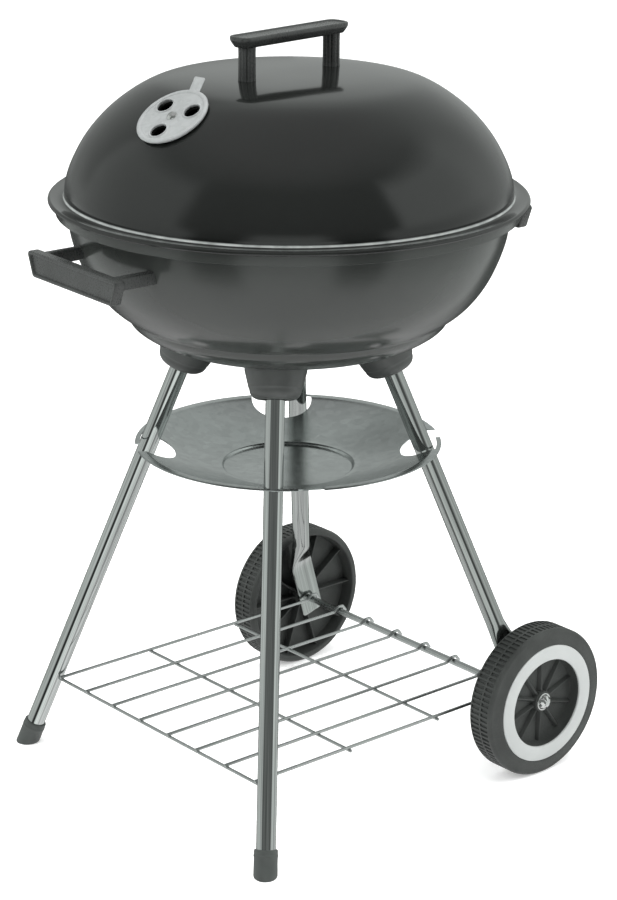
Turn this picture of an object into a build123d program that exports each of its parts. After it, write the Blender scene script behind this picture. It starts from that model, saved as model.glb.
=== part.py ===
from build123d import *
import math
import os

os.makedirs("parts", exist_ok=True)

# Kettle charcoal grill.  Millimetres, +Z up, floor at z = 0, kettle axis on x = y = 0.
# +X runs along the wheel axle, +Y is the wheel side, -Y is the side that stands on feet.

# ---------------------------------------------------------------- driving dimensions
sheet = 1.5                    # steel sheet of bowl and lid
rim_radius = 228.0             # lid flange, outer
rim_top = 581.6
rim_bottom = 577.8
bowl_bottom = 439.0            # underside of the bowl floor
lip_radius = 221.0             # bowl lip, outer
lip_top = 579.2
lip_low = 567.0

lid_turn = 5.0                 # the lid sits turned this much on the bowl, degrees
handle_turn = -2.5             # the bowl handles' line is turned this much, degrees
lid_bar_low, lid_bar_high = 727.0, 737.5
lid_bar_length, lid_bar_width = 140.0, 26.0
lid_post_spacing, lid_post_radius = 111.0, 8.2

vent_azimuth = -84.0           # lid vent
vent_reach = 151.0             # its distance from the kettle axis
vent_radius = 35.0
vent_hole_radius = 7.8
vent_hole_pitch = 20.0

bar_reach = 247.4              # outer face of the bowl handle's bar
bar_half_top, bar_half_low = 73.5, 64.5
bar_low, bar_high = 525.0, 548.8
arm_spacing = 113.0

tube_radius, tube_wall = 9.25, 1.2
foot_top = (71.9, -76.45, 408.9)       # where a foot leg leaves its socket (x mirrored)
foot_end = (191.4, -186.6, 0.0)
wheel_top = (71.9, 70.2, 408.9)        # where a wheel leg leaves its socket
wheel_end = (193.85, 188.1, 0.0)       # its axis carried on to the floor
plate_x0, plate_x1 = 160.2, 162.8      # flattened end of a wheel leg
plate_width = 27.6

pan_radius, pan_rim = 149.5, 335.6
pan_ring_radius, pan_ring = 66.6, 311.6
pan_sheet = 1.2

wheel_radius, wheel_in, wheel_out = 76.4, 168.0, 201.5
axle_y, axle_z, axle_radius = 167.6, 76.4, 3.5
trim_outer, trim_inner = 60.5, 45.5

wire = 1.6                     # shelf wire radius
shelf_half = 155.0
cross_pitch = 113.4
cross_z = 74.6

grate_z, grate_radius = 561.0, 201.0
coal_z, coal_radius = 478.0, 157.0


# ---------------------------------------------------------------- helpers
def put(name, *solids):
    parts = []
    for s in solids:
        parts += list(s.solids())
    shape = parts[0] if len(parts) == 1 else Compound(children=parts)
    shape.label = name
    export_step(shape, "parts/%s.step" % name)


def rev(*lines):
    edges = []
    for line in lines:
        edges += list((Plane.XZ * line).edges())
    return revolve(make_face(edges), axis=Axis.Z, revolution_arc=360)


def offset_points(pts, t):
    # points moved t to the left of the direction of travel
    out = []
    for i, (x, y) in enumerate(pts):
        x0, y0 = pts[max(i - 1, 0)]
        x1, y1 = pts[min(i + 1, len(pts) - 1)]
        d = math.hypot(x1 - x0, y1 - y0)
        out.append((x - (y1 - y0) / d * t, y + (x1 - x0) / d * t))
    return out


def unit(v):
    return Vector(*v).normalized()


def rod(a, b, r):
    a, b = Vector(*a), Vector(*b)
    return Plane(a, z_dir=(b - a)) * Cylinder(r, (b - a).length, align=(Align.CENTER, Align.CENTER, Align.MIN))


def turned(shape, degrees_):
    return shape.rotate(Axis.Z, degrees_)


def mirrored_x(shape):
    return mirror(shape, about=Plane.YZ)


# ---------------------------------------------------------------- bowl
floor_pts = [(98.0, 439.0), (112.0, 440.7), (124.5, 444.2), (136.0, 449.2), (145.9, 455.2), (152.0, 460.6), (155.0, 466.0)]
wall_pts = [(157.8, 469.2), (166.4, 475.2), (176.2, 484.0), (184.1, 493.6), (190.7, 503.6), (195.9, 513.6),
            (200.2, 523.6), (203.8, 533.6), (206.7, 543.6), (208.5, 553.6), (209.4, 563.6), (209.6, 572.0)]
floor_in = offset_points([(90.0, 439.0)] + floor_pts + [(156.4, 467.6)], sheet)[1:-1]
wall_in = offset_points([(156.4, 467.6)] + wall_pts + [(209.6, 576.0)], sheet)[1:-1]

bowl = rev(
    Line((0, bowl_bottom), floor_pts[0]),
    Spline(floor_pts, tangents=((1, 0), (0.45, 1))),
    Line(floor_pts[-1], wall_pts[0]),
    Spline(wall_pts),
    ThreePointArc(wall_pts[-1], (210.8, 576.2), (213.6, 577.7)),
    Line((213.6, 577.7), (218.0, 577.7)),
    ThreePointArc((218.0, 577.7), (219.06, 577.26), (219.5, 576.2)),
    Line((219.5, 576.2), (219.5, lip_low)),
    Line((219.5, lip_low), (lip_radius, lip_low)),
    Line((lip_radius, lip_low), (lip_radius, 575.7)),
    ThreePointArc((lip_radius, 575.7), (219.97, 578.17), (217.5, lip_top)),
    Line((217.5, lip_top), (212.6, lip_top)),
    ThreePointArc((212.6, lip_top), (209.4, 576.9), wall_in[-1]),
    Spline(wall_in[::-1]),
    Line(wall_in[0], floor_in[-1]),
    Spline(floor_in[::-1], tangents=((-0.45, -1), (-1, 0))),
    Line(floor_in[0], (0, bowl_bottom + sheet)),
    Line((0, bowl_bottom + sheet), (0, bowl_bottom)),
)
# solid plug of the bowl's outer shape, used to trim what is fitted against it
bowl_plug = rev(
    Line((0, bowl_bottom), floor_pts[0]),
    Spline(floor_pts, tangents=((1, 0), (0.45, 1))),
    Line(floor_pts[-1], wall_pts[0]),
    Spline(wall_pts),
    Line(wall_pts[-1], (0, 572.0)),
    Line((0, 572.0), (0, bowl_bottom)),
)

bottom_holes = [Pos(20 * math.cos(math.radians(a)), 20 * math.sin(math.radians(a)), bowl_bottom) * Cylinder(vent_hole_radius, 8)
                for a in (90, 210, 330)]
for h in bottom_holes:
    bowl -= h
bowl -= Pos(0, 0, bowl_bottom) * Cylinder(2.6, 8)

# ---------------------------------------------------------------- lid
dome_pts = [(0.0, 696.8), (35.0, 696.6), (60.0, 696.0), (85.0, 694.7), (105.0, 692.6), (125.0, 688.6), (142.0, 681.1),
            (158.0, 670.8), (172.0, 659.4), (184.0, 646.8), (194.0, 633.6), (202.0, 619.6), (207.6, 607.2), (211.0, 596.0), (212.5, 585.6)]
dome_in = offset_points([(-35.0, 696.6)] + dome_pts + [(212.7, 582.0)], -sheet)[1:-1]
dome_edge = Spline(dome_pts, tangents=((1, 0), (0.05, -1)))
lid = rev(
    dome_edge,
    ThreePointArc(dome_pts[-1], (213.1, 582.6), (215.2, 581.0)),
    Line((215.2, 581.0), (224.6, 581.5)),
    ThreePointArc((224.6, 581.5), (227.3, 581.0), (rim_radius, 579.6)),
    ThreePointArc((rim_radius, 579.6), (227.6, 578.3), (226.2, rim_bottom)),
    ThreePointArc((226.2, rim_bottom), (224.8, 578.3), (224.2, 579.6)),
    Line((224.2, 579.6), (215.0, 579.5)),
    ThreePointArc((215.0, 579.5), (211.9, 581.6), dome_in[-1]),
    Spline(dome_in[::-1], tangents=((-0.05, 1), (-1, 0))),
    Line(dome_in[0], dome_pts[0]),
)

# place of the lid vent: the tangent plane of the dome at vent_reach
lo, hi = 0.3, 0.9
for _ in range(40):
    mid = (lo + hi) / 2
    if dome_edge.position_at(mid).X < vent_reach:
        lo = mid
    else:
        hi = mid
vent_z = dome_edge.position_at(lo).Y
slope = dome_edge.tangent_at(lo)
va = math.radians(vent_azimuth)
tilt = math.atan2(-slope.Y, slope.X)
vent_normal = Vector(math.sin(tilt) * math.cos(va), math.sin(tilt) * math.sin(va), math.cos(tilt))
vent_up = Vector(-math.cos(tilt) * math.cos(va), -math.cos(tilt) * math.sin(va), math.sin(tilt))
vent_point = Vector(vent_reach * math.cos(va), vent_reach * math.sin(va), vent_z)
vent_plane = Plane(vent_point, x_dir=vent_up, z_dir=vent_normal)
print("vent point", vent_point, "normal", vent_normal, "tilt", math.degrees(tilt))

hole_spots = [(vent_hole_pitch * math.cos(math.radians(a)), vent_hole_pitch * math.sin(math.radians(a))) for a in (60, 180, 300)]
for x, y in hole_spots:
    lid -= vent_plane * Pos(x, y, -4) * Cylinder(vent_hole_radius - 0.4, 16)
lid -= vent_plane * Cylinder(2.6, 10)
post_spots = [turned(Pos(0, s * lid_post_spacing / 2, 0) * Cylinder(2.2, 4), lid_turn) for s in (-1, 1)]
for s in (-1, 1):
    lid -= turned(Pos(0, s * lid_post_spacing / 2, 696) * Cylinder(2.4, 12), lid_turn)


# ---------------------------------------------------------------- rotating vent dampers
def damper(drop):
    # pressed disc, its underside on z = 0, tab towards +X; the rim turns down by drop
    disc = rev(
        Line((0, 0), (31.0, 0)),
        Line((31.0, 0), (32.6, -drop)),
        Line((32.6, -drop), (34.6, -drop)),
        ThreePointArc((34.6, -drop), (34.9, 0.9), (33.0, 2.0)),
        ThreePointArc((33.0, 2.0), (31.5, 1.9), (30.4, 1.2)),
        Line((30.4, 1.2), (0, 1.2)),
        Line((0, 1.2), (0, 0)),
    )
    for x, y in hole_spots:
        # raised collar round each hole
        disc += Pos(x, y, 0) * rev(
            Line((vent_hole_radius, 0.6), (vent_hole_radius + 2.2, 0.6)),
            Line((vent_hole_radius + 2.2, 0.6), (vent_hole_radius + 2.2, 1.2)),
            Line((vent_hole_radius + 2.2, 1.2), (vent_hole_radius + 1.2, 2.2)),
            Line((vent_hole_radius + 1.2, 2.2), (vent_hole_radius, 2.2)),
            Line((vent_hole_radius, 2.2), (vent_hole_radius, 0.6)),
        )
        disc -= Pos(x, y, 0) * Cylinder(vent_hole_radius, 8)
    tab = Pos(33.2, 0, 0.2) * Rot(0, -24, 0) * Box(14.6, 13.0, 1.2, align=(Align.MIN, Align.CENTER, Align.MIN))
    disc += tab
    disc -= Cylinder(2.57, 8)
    return disc


lid_damper = vent_plane * Pos(0, 0, 0.4) * damper(1.0)
# the rivet: shank through lid and damper, head above, clinched end inside
rivet = rev(Polyline((0, -3.2), (3.4, -3.2), (4.4, -2.5), (4.4, -1.7), (2.5, -1.7), (2.5, 2.0), (5.2, 2.0), (5.0, 2.8), (4.2, 3.5),
                     (2.9, 4.0), (1.5, 4.25), (0, 4.3), close=True))
lid_rivet = vent_plane * rivet
bowl_damper = Pos(0, 0, bowl_bottom - 0.4) * Rot(180, 0, 0) * damper(0.05)
bowl_damper = bowl_damper.rotate(Axis.Z, -90)
bowl_rivet = Pos(0, 0, bowl_bottom) * Rot(180, 0, 0) * rivet

# the bottom damper's holes stand under the bowl's holes
# ---------------------------------------------------------------- lid handle
post_base = 696.05
bar = Pos(0, 0, lid_bar_low) * Box(lid_bar_width - 5, lid_bar_length - 10, 1.5, align=(Align.CENTER, Align.CENTER, Align.MIN))
low_face = Plane.XY.offset(lid_bar_low) * RectangleRounded(lid_bar_width - 8, lid_bar_length - 12, 6)
mid_face = Plane.XY.offset(lid_bar_low + 6.5) * RectangleRounded(lid_bar_width, lid_bar_length, 9)
bar = loft([low_face, mid_face])
bar += extrude(mid_face, 3.0)
top_ring = Plane.XY.offset(lid_bar_high - 1.0) * (RectangleRounded(lid_bar_width - 1.6, lid_bar_length - 1.6, 8.2))
bar += extrude(top_ring, 1.0)
bar -= extrude(Plane.XY.offset(lid_bar_high - 1.4) * RectangleRounded(lid_bar_width - 6, lid_bar_length - 6, 6), 4)
for s in (-1, 1):
    p = Pos(0, s * lid_post_spacing / 2, post_base) * Cylinder(lid_post_radius, lid_bar_low + 1.0 - post_base, align=(Align.CENTER, Align.CENTER, Align.MIN))
    for k in range(8):
        a = math.radians(22.5 + 45 * k)
        p -= Pos((lid_post_radius + 0.5) * math.cos(a), s * lid_post_spacing / 2 + (lid_post_radius + 0.5) * math.sin(a), post_base) * Cylinder(
            1.5, lid_bar_low - post_base, align=(Align.CENTER, Align.CENTER, Align.MIN))
    p -= Pos(0, s * lid_post_spacing / 2, post_base - 2) * Cylinder(2.0, 20.0, align=(Align.CENTER, Align.CENTER, Align.MIN))
    bar += p
lid_handle = turned(bar, lid_turn) - lid
handle_screws = []
for s in (-1, 1):
    scr = rev(Line((0, 690.2), (3.6, 690.2)), Line((3.6, 690.2), (4.8, 691.6)), Line((4.8, 691.6), (4.8, 694.2)),
              Line((4.8, 694.2), (2.0, 694.2)), Line((2.0, 694.2), (2.0, 712.0)), Line((2.0, 712.0), (0, 713.0)),
              Line((0, 713.0), (0, 690.2)))
    handle_screws.append(turned(Pos(0, s * lid_post_spacing / 2, 0) * scr, lid_turn))


# ---------------------------------------------------------------- bowl handles
def bowl_handle():
    # built towards +Y
    face = Plane.XZ * Polyline((-bar_half_top, bar_high), (bar_half_top, bar_high), (bar_half_low, bar_low), (-bar_half_low, bar_low), close=True)
    b = Pos(0, bar_reach, 0) * extrude(make_face(face), 11.0)
    if b.bounding_box().min.Y > bar_reach - 1:
        b = Pos(0, -11.0, 0) * b
    b = fillet(b.edges().filter_by(Axis.Y), 3.2)
    # shallow channel in the outer face
    inner = Plane.XZ * Polyline((-bar_half_top + 6.2, bar_high - 3.6), (bar_half_top - 6.2, bar_high - 3.6), (bar_half_low - 4.4, bar_low + 3.6), (-bar_half_low + 4.4, bar_low + 3.6), close=True)
    cut = extrude(make_face(inner), 2.4, both=True)
    b -= Pos(0, bar_reach, 0) * cut
    for s in (-1, 1):
        x = s * arm_spacing / 2
        arm = Pos(x, 0, 0) * Box(9.0, 60.0, 12.0, align=(Align.CENTER, Align.MIN, Align.MAX))
        arm = Pos(0, bar_reach - 66.0, 548.2) * arm
        arm = chamfer(arm.edges().filter_by(Axis.Y), 1.6)
        b += arm
    b -= bowl_plug
    for s in (-1, 1):
        x = s * arm_spacing / 2
        b -= Pos(x, 190, 542.2) * Rot(-90, 0, 0) * Cylinder(2.0, 26, align=(Align.CENTER, Align.CENTER, Align.MIN))
    return b


handle_body = bowl_handle()
rear_handle = turned(handle_body, handle_turn)
front_handle = turned(handle_body, handle_turn + 180)
bowl_screws = []
for s in (-1, 1):
    x = s * arm_spacing / 2
    # where the bowl wall stands at this offset
    r_out = 206.2
    y_out = math.sqrt(r_out ** 2 - x ** 2)
    scr = Pos(x, y_out - 5.0, 542.2) * Rot(-90, 0, 0) * rev(
        Line((0, -3.2), (3.4, -3.2)), Line((3.4, -3.2), (4.6, -1.6)), Line((4.6, -1.6), (4.6, 0.6)), Line((4.6, 0.6), (2.0, 0.6)),
        Line((2.0, 0.6), (2.0, 20.0)), Line((2.0, 20.0), (0, 21.0)), Line((0, 21.0), (0, -3.2)))
    for t in (0, 180):
        bowl_screws.append(turned(scr, handle_turn + t))
for t in (0, 180):
    for s in (-1, 1):
        bowl -= turned(Pos(s * arm_spacing / 2, 180, 542.2) * Rot(-90, 0, 0) * Cylinder(2.3, 40, align=(Align.CENTER, Align.CENTER, Align.MIN)), handle_turn + t)

# ---------------------------------------------------------------- legs, sockets and feet
foot_dir = unit([b - a for a, b in zip(foot_top, foot_end)])
wheel_dir = unit([b - a for a, b in zip(wheel_top, wheel_end)])


def along(start, direction, z):
    s = Vector(*start)
    return s + direction * ((z - s.Z) / direction.Z)


def socket(start, direction):
    # cup of tapered outside, axis on the leg, z up the leg; trimmed to the bowl
    pl = Plane(Vector(*start), z_dir=direction * -1)
    cup = rev(
        Line((tube_radius + 0.05, 2.0), (11.4, 2.0)),
        Line((11.4, 2.0), (12.4, 0.0)),
        Line((12.4, 0.0), (15.5, 0.0)),
        ThreePointArc((15.5, 0.0), (21.6, 2.6), (24.4, 8.6)),
        Line((24.4, 8.6), (29.4, 27.0)),
        Line((29.4, 27.0), (29.8, 60.0)),
        Line((29.8, 60.0), (tube_radius + 0.05, 60.0)),
        Line((tube_radius + 0.05, 60.0), (tube_radius + 0.05, 2.0)),
    )
    plug = Pos(0, 0, 24.0) * Cylinder(tube_radius + 0.05, 40.0, align=(Align.CENTER, Align.CENTER, Align.MIN))
    cup += plug
    hollow = Pos(0, 0, 10.0) * Cone(19.0, 27.0, 45.0, align=(Align.CENTER, Align.CENTER, Align.MIN)) - Cylinder(12.6, 200)
    for k in range(4):
        hollow -= Rot(0, 0, 45 + 90 * k) * Box(80, 2.2, 200, align=(Align.MIN, Align.CENTER, Align.CENTER))
    cup -= hollow
    cup -= Cylinder(2.6, 200)
    cup = pl * cup
    cup -= bowl_plug
    best = None
    for s in cup.solids():
        if best is None or s.center().Z < best.center().Z:
            best = s
    return best


def leg_tube(start, direction, z_top, z_low, solid_end=False):
    a, b = along(start, direction, z_top), along(start, direction, z_low)
    t = rod(a, b, tube_radius)
    if not solid_end:
        t -= rod(a - direction * 1.0, b + direction * 1.0, tube_radius - tube_wall)
    return t


def socket_bolt(start, direction):
    # bolt from inside the bowl, down the leg's axis into the socket
    pl = Plane(Vector(*start), z_dir=direction * -1)
    top = (bowl_bottom + sheet - start[2]) / -direction.Z
    head_seat = top + 3.4
    b = rev(Line((0, 24.5), (2.5, 24.5)), Line((2.5, 24.5), (2.5, head_seat)), Line((2.5, head_seat), (7.5, head_seat)),
            Line((7.5, head_seat), (7.5, head_seat + 1.4)), Line((7.5, head_seat + 1.4), (4.8, head_seat + 3.6)),
            Line((4.8, head_seat + 3.6), (0, head_seat + 4.2)), Line((0, head_seat + 4.2), (0, 24.5)))
    return pl * b


front_socket = socket(foot_top, foot_dir)
rear_socket = socket(wheel_top, wheel_dir)
front_bolt = socket_bolt(foot_top, foot_dir)
rear_bolt = socket_bolt(wheel_top, wheel_dir)
for d, s in ((foot_dir, foot_top), (wheel_dir, wheel_top)):
    hole = Plane(Vector(*s), z_dir=d * -1) * Cylinder(2.7, 100)
    bowl -= hole
    bowl -= mirrored_x(hole)

front_leg = leg_tube(foot_top, foot_dir, 430.0, 5.0)
cross_y = along(foot_top, foot_dir, cross_z).Y
front_leg -= rod((100, cross_y, cross_z), (170.2, cross_y, cross_z), wire + 0.15)

foot_axis = Plane(Vector(*foot_end) + foot_dir * 6.0, z_dir=foot_dir * -1)
cap = foot_axis * Cylinder(11.2, 31.0, align=(Align.CENTER, Align.CENTER, Align.MIN))
cap = fillet(cap.edges().filter_by(GeomType.CIRCLE).sort_by(Axis.Z)[-1:], 1.2)
cap -= leg_tube(foot_top, foot_dir, 430.0, 5.0, solid_end=True)
cap &= Box(1000, 1000, 200, align=(Align.CENTER, Align.CENTER, Align.MIN))

# wheel leg: round tube, drawn flat at the lower end and pierced for the axle
z_round, z_flat, z_tip = 152.0, 117.0, 60.0
lean = unit((0, wheel_dir.Y / -wheel_dir.Z, -1))
plate_mid = (plate_x0 + plate_x1) / 2


def plate_point(z):
    return Vector(plate_mid, axle_y + (axle_z - z) * (wheel_dir.Y / -wheel_dir.Z) * 1.0, z)


p_round = along(wheel_top, wheel_dir, z_round)
p_flat = plate_point(z_flat)
round_face = Plane(p_round, x_dir=(1, 0, -wheel_dir.X / wheel_dir.Z), z_dir=wheel_dir) * Circle(tube_radius)
flat_pl = Plane(p_flat, x_dir=(1, 0, 0), z_dir=lean)
flat_face = flat_pl * RectangleRounded(plate_x1 - plate_x0, plate_width, 1.2)
neck = loft([round_face, flat_face])
plate = extrude(flat_face, amount=(plate_point(z_tip) - p_flat).length, dir=lean)
rear_leg = leg_tube(wheel_top, wheel_dir, 430.0, z_round, solid_end=True) + neck + plate
bore_a, bore_b = along(wheel_top, wheel_dir, 431.0), along(wheel_top, wheel_dir, z_round + 2.0)
rear_leg -= rod(bore_a, bore_b, tube_radius - tube_wall)
rear_leg -= rod((150, axle_y, axle_z), (175, axle_y, axle_z), axle_radius + 0.1)

# ---------------------------------------------------------------- ash pan
pan = rev(
    Line((0, 307.4), (63.2, 307.4)),
    Line((63.2, 307.4), (65.6, 310.6)),
    Line((65.6, 310.6), (67.2, 310.6)),
    ThreePointArc((67.2, 310.6), (106.0, 320.0), (140.6, 333.6)),
    Line((140.6, 333.6), (143.0, pan_rim - pan_sheet)),
    Line((143.0, pan_rim - pan_sheet), (pan_radius, pan_rim - pan_sheet)),
    Line((pan_radius, pan_rim - pan_sheet), (pan_radius, pan_rim)),
    Line((pan_radius, pan_rim), (142.6, pan_rim)),
    Line((142.6, pan_rim), (140.2, 334.8)),
    ThreePointArc((140.2, 334.8), (105.6, 321.2), (66.9, 311.8)),
    Line((66.9, 311.8), (64.8, 311.8)),
    Line((64.8, 311.8), (62.4, 308.6)),
    Line((62.4, 308.6), (0, 308.6)),
    Line((0, 308.6), (0, 307.4)),
)
leg_azimuths = []
for s, d in ((foot_top, foot_dir), (wheel_top, wheel_dir)):
    p = along(s, d, pan_rim)
    a = math.degrees(math.atan2(p.Y, p.X))
    leg_azimuths += [a, 180 - a]
for a in leg_azimuths:
    slot = Pos(160, 0, pan_rim - 12) * extrude(RectangleRounded(100, 61, 26), 40, both=True)
    slot = slot.rotate(Axis.Z, a + 7.0)
    # the hook: a strip of the rim left standing outside the leg
    hook = extrude(make_face([
        ThreePointArc((144.8 * math.cos(math.radians(-9)), 144.8 * math.sin(math.radians(-9))), (144.8, 0),
                      (144.8 * math.cos(math.radians(9.5)), 144.8 * math.sin(math.radians(9.5)))),
        Line((144.8 * math.cos(math.radians(9.5)), 144.8 * math.sin(math.radians(9.5))),
             (160 * math.cos(math.radians(9.9)), 160 * math.sin(math.radians(9.9)))),
        Line((160 * math.cos(math.radians(9.9)), 160 * math.sin(math.radians(9.9))),
             (170, 0)),
        Line((170, 0), (160 * math.cos(math.radians(-9)), 160 * math.sin(math.radians(-9)))),
        Line((160 * math.cos(math.radians(-9)), 160 * math.sin(math.radians(-9))),
             (144.8 * math.cos(math.radians(-9)), 144.8 * math.sin(math.radians(-9)))),
    ]), 800, both=True)
    slot -= hook.rotate(Axis.Z, a)
    pan -= slot

# ---------------------------------------------------------------- wheels
def wheel():
    # axis on Z while it is built, inner face at z = 0
    w = wheel_out - wheel_in
    bore = axle_radius + 0.07
    body = rev(
        Line((bore, -3.2), (10.5, -3.2)),
        Line((10.5, -3.2), (10.5, 14.0)),
        Line((10.5, 14.0), (66.0, 14.0)),
        Line((66.0, 14.0), (68.5, 1.0)),
        ThreePointArc((68.5, 1.0), (69.6, 0.2), (71.0, 0.3)),
        ThreePointArc((71.0, 0.3), (74.8, 1.2), (wheel_radius, 4.0)),
        Line((wheel_radius, 4.0), (wheel_radius, w - 5.5)),
        ThreePointArc((wheel_radius, w - 5.5), (75.2, w - 3.3), (72.4, w - 2.4)),
        Line((72.4, w - 2.4), (trim_outer, w)),
        Line((trim_outer, w), (trim_outer, w - 1.6)),
        Line((trim_outer, w - 1.6), (trim_inner, w - 1.6)),
        Line((trim_inner, w - 1.6), (43.4, 21.0)),
        Line((43.4, 21.0), (10.5, 21.0)),
        Line((10.5, 21.0), (10.5, w - 5.6)),
        Line((10.5, w - 5.6), (bore, w - 5.6)),
        Line((bore, w - 5.6), (bore, -3.2)),
    )
    for k in range(10):
        rib = Rot(0, 0, 36 * k) * Pos(10.0, 0, 20.0) * Box(34.2, 2.0, 5.0, align=(Align.MIN, Align.CENTER, Align.MIN))
        body += rib
        back = Rot(0, 0, 36 * k + 18) * Pos(10.0, 0, 5.0) * Box(57.5, 2.0, 10.0, align=(Align.MIN, Align.CENTER, Align.MIN))
        body += back
    # centre line of the tread
    body -= Pos(0, 0, 16.0) * (Cylinder(wheel_radius + 2, 1.6) - Cylinder(wheel_radius - 1.0, 1.6))
    return body


def to_axle(shape, side):
    # Z of the wheel frame becomes +X (side 1) or -X (side -1)
    placed = Pos(wheel_in, axle_y, axle_z) * Rot(0, 90, 0) * shape
    return placed if side > 0 else mirrored_x(placed)


wheel_body = wheel()
trim = Pos(0, 0, wheel_out - wheel_in - 1.6) * (
    Cylinder(trim_outer - 0.05, 2.0, align=(Align.CENTER, Align.CENTER, Align.MIN)) - Cylinder(trim_inner + 0.05, 2.0, align=(Align.CENTER, Align.CENTER, Align.MIN)))
nut = Pos(0, 0, wheel_out - wheel_in - 5.2) * (rev(
    Line((0, 4.2), (0, 6.4)), ThreePointArc((0, 6.4), (5.4, 4.6), (7.9, 1.1)), Line((7.9, 1.1), (8.9, 0.9)), Line((8.9, 0.9), (8.9, 0)),
    Line((8.9, 0), (axle_radius, 0)), Line((axle_radius, 0), (axle_radius, 4.2)), Line((axle_radius, 4.2), (0, 4.2))))
washer = Pos(0, 0, plate_x1 - wheel_in) * (Cylinder(8.5, 1.5, align=(Align.CENTER, Align.CENTER, Align.MIN)) - Cylinder(axle_radius, 1.5, align=(Align.CENTER, Align.CENTER, Align.MIN)))
axle_half = wheel_out - 5.2 + 4.2
axle = rod((-axle_half, axle_y, axle_z), (axle_half, axle_y, axle_z), axle_radius)

# ---------------------------------------------------------------- wire shelf
along_z = cross_z + 2 * wire - 0.25
shelf = rod((-169.0, cross_y, cross_z), (169.0, cross_y, cross_z), wire)
for k in (1, 2):
    y = cross_y + cross_pitch * k
    shelf += rod((-shelf_half - 3.2, y, cross_z), (shelf_half + 3.2, y, cross_z), wire)
for k in range(8):
    x = -shelf_half + 2 * shelf_half * k / 7.0
    path = FilletPolyline((0, cross_y - 3.0, along_z), (0, axle_y - 9.4, along_z), (0, axle_y - 2.8, along_z + 4.4), (0, axle_y + 3.4, along_z + 4.4), (0, axle_y + 8.1, along_z - 1.6), radius=2.4)
    path = Pos(x, 0, 0) * path
    sec = Plane(origin=path @ 0, z_dir=path % 0) * Circle(wire)
    shelf += sweep(sec, path=path)

# ---------------------------------------------------------------- grates inside the bowl
def grate(radius, z, ring_r, rod_r, pitch, count):
    # round bars laid across a ring, with two bars under them inside the ring
    ring = Pos(0, 0, z) * Rot(0, 0, 7.3) * Torus(radius, ring_r)
    bars = []
    top = z + ring_r + rod_r
    for x in (-radius * 0.45, radius * 0.45):
        half = math.sqrt((radius - ring_r - 0.3) ** 2 - (abs(x) + rod_r) ** 2)
        bars.append(rod((x, -half, top - 2 * rod_r), (x, half, top - 2 * rod_r), rod_r))
    for k in range(-count, count + 1):
        y = k * pitch
        half = math.sqrt(radius ** 2 - y ** 2) + 1.6
        bars.append(rod((-half, y, top), (half, y, top), rod_r))
    return ring, bars


cooking_ring, cooking_bars = grate(grate_radius, grate_z, 2.6, 1.8, 17.0, 11)
coal_ring, coal_bars = grate(coal_radius, coal_z, 2.6, 2.4, 22.0, 6)

bracket_top = grate_z - 2.6 - 0.3
brackets = []
for a in (20, 110, 200, 290):
    arm = Pos(188.0, 0, bracket_top - 1.6) * Box(30.0, 16.0, 1.6, align=(Align.MIN, Align.CENTER, Align.MIN))
    leg_ = Pos(188.0, 0, bracket_top - 18.0) * Box(30.0, 16.0, 18.0, align=(Align.MIN, Align.CENTER, Align.MIN))
    core = rev(
        Line((0, 500), (wall_in[4][0] - 1.6, wall_in[4][1])),
        Spline([(p[0] - 1.6, p[1]) for p in wall_in[4:]]),
        Line((wall_in[-1][0] - 1.6, wall_in[-1][1]), (0, 572)),
        Line((0, 572), (0, 500)),
    )
    inside = rev(
        Line((0, 500), (wall_in[4][0], wall_in[4][1])),
        Spline(wall_in[4:]),
        Line(wall_in[-1], (0, 572)),
        Line((0, 572), (0, 500)),
    )
    tab = (leg_ - core) & inside
    shelf_tab = arm & inside
    brackets.append((tab + shelf_tab).rotate(Axis.Z, a))

# ---------------------------------------------------------------- write the pieces
put("bowl", bowl)
put("lid", lid)
put("lid_handle", lid_handle)
put("lid_handle_screws", *handle_screws)
put("lid_vent_damper", lid_damper)
put("lid_vent_rivet", lid_rivet)
put("bowl_vent_damper", bowl_damper)
put("bowl_vent_rivet", bowl_rivet)
put("front_bowl_handle", front_handle)
put("rear_bowl_handle", rear_handle)
put("bowl_handle_screws", *bowl_screws)
put("leg_socket_front_left", mirrored_x(front_socket))
put("leg_socket_front_right", front_socket)
put("leg_socket_rear_left", mirrored_x(rear_socket))
put("leg_socket_rear_right", rear_socket)
put("leg_socket_bolts", front_bolt, mirrored_x(front_bolt), rear_bolt, mirrored_x(rear_bolt))
put("front_leg_left", mirrored_x(front_leg))
put("front_leg_right", front_leg)
put("rear_leg_left", mirrored_x(rear_leg))
put("rear_leg_right", rear_leg)
put("foot_cap_left", mirrored_x(cap))
put("foot_cap_right", cap)
put("ash_pan", pan)
put("storage_shelf", shelf)
put("axle", axle)
put("wheel_left", to_axle(wheel_body, -1))
put("wheel_right", to_axle(wheel_body, 1))
put("wheel_trim_left", to_axle(trim, -1))
put("wheel_trim_right", to_axle(trim, 1))
put("axle_push_nuts", to_axle(nut, -1), to_axle(nut, 1))
put("axle_washers", to_axle(washer, -1), to_axle(washer, 1))
put("cooking_grate_ring", cooking_ring)
put("cooking_grate_bars", *cooking_bars)
put("cooking_grate_brackets", *brackets)
put("charcoal_grate_ring", coal_ring)
put("charcoal_grate_bars", *coal_bars)
print("leg azimuths", leg_azimuths)
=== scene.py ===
import math

import bmesh
import bpy
import numpy as np
from mathutils import Matrix, Vector


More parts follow.
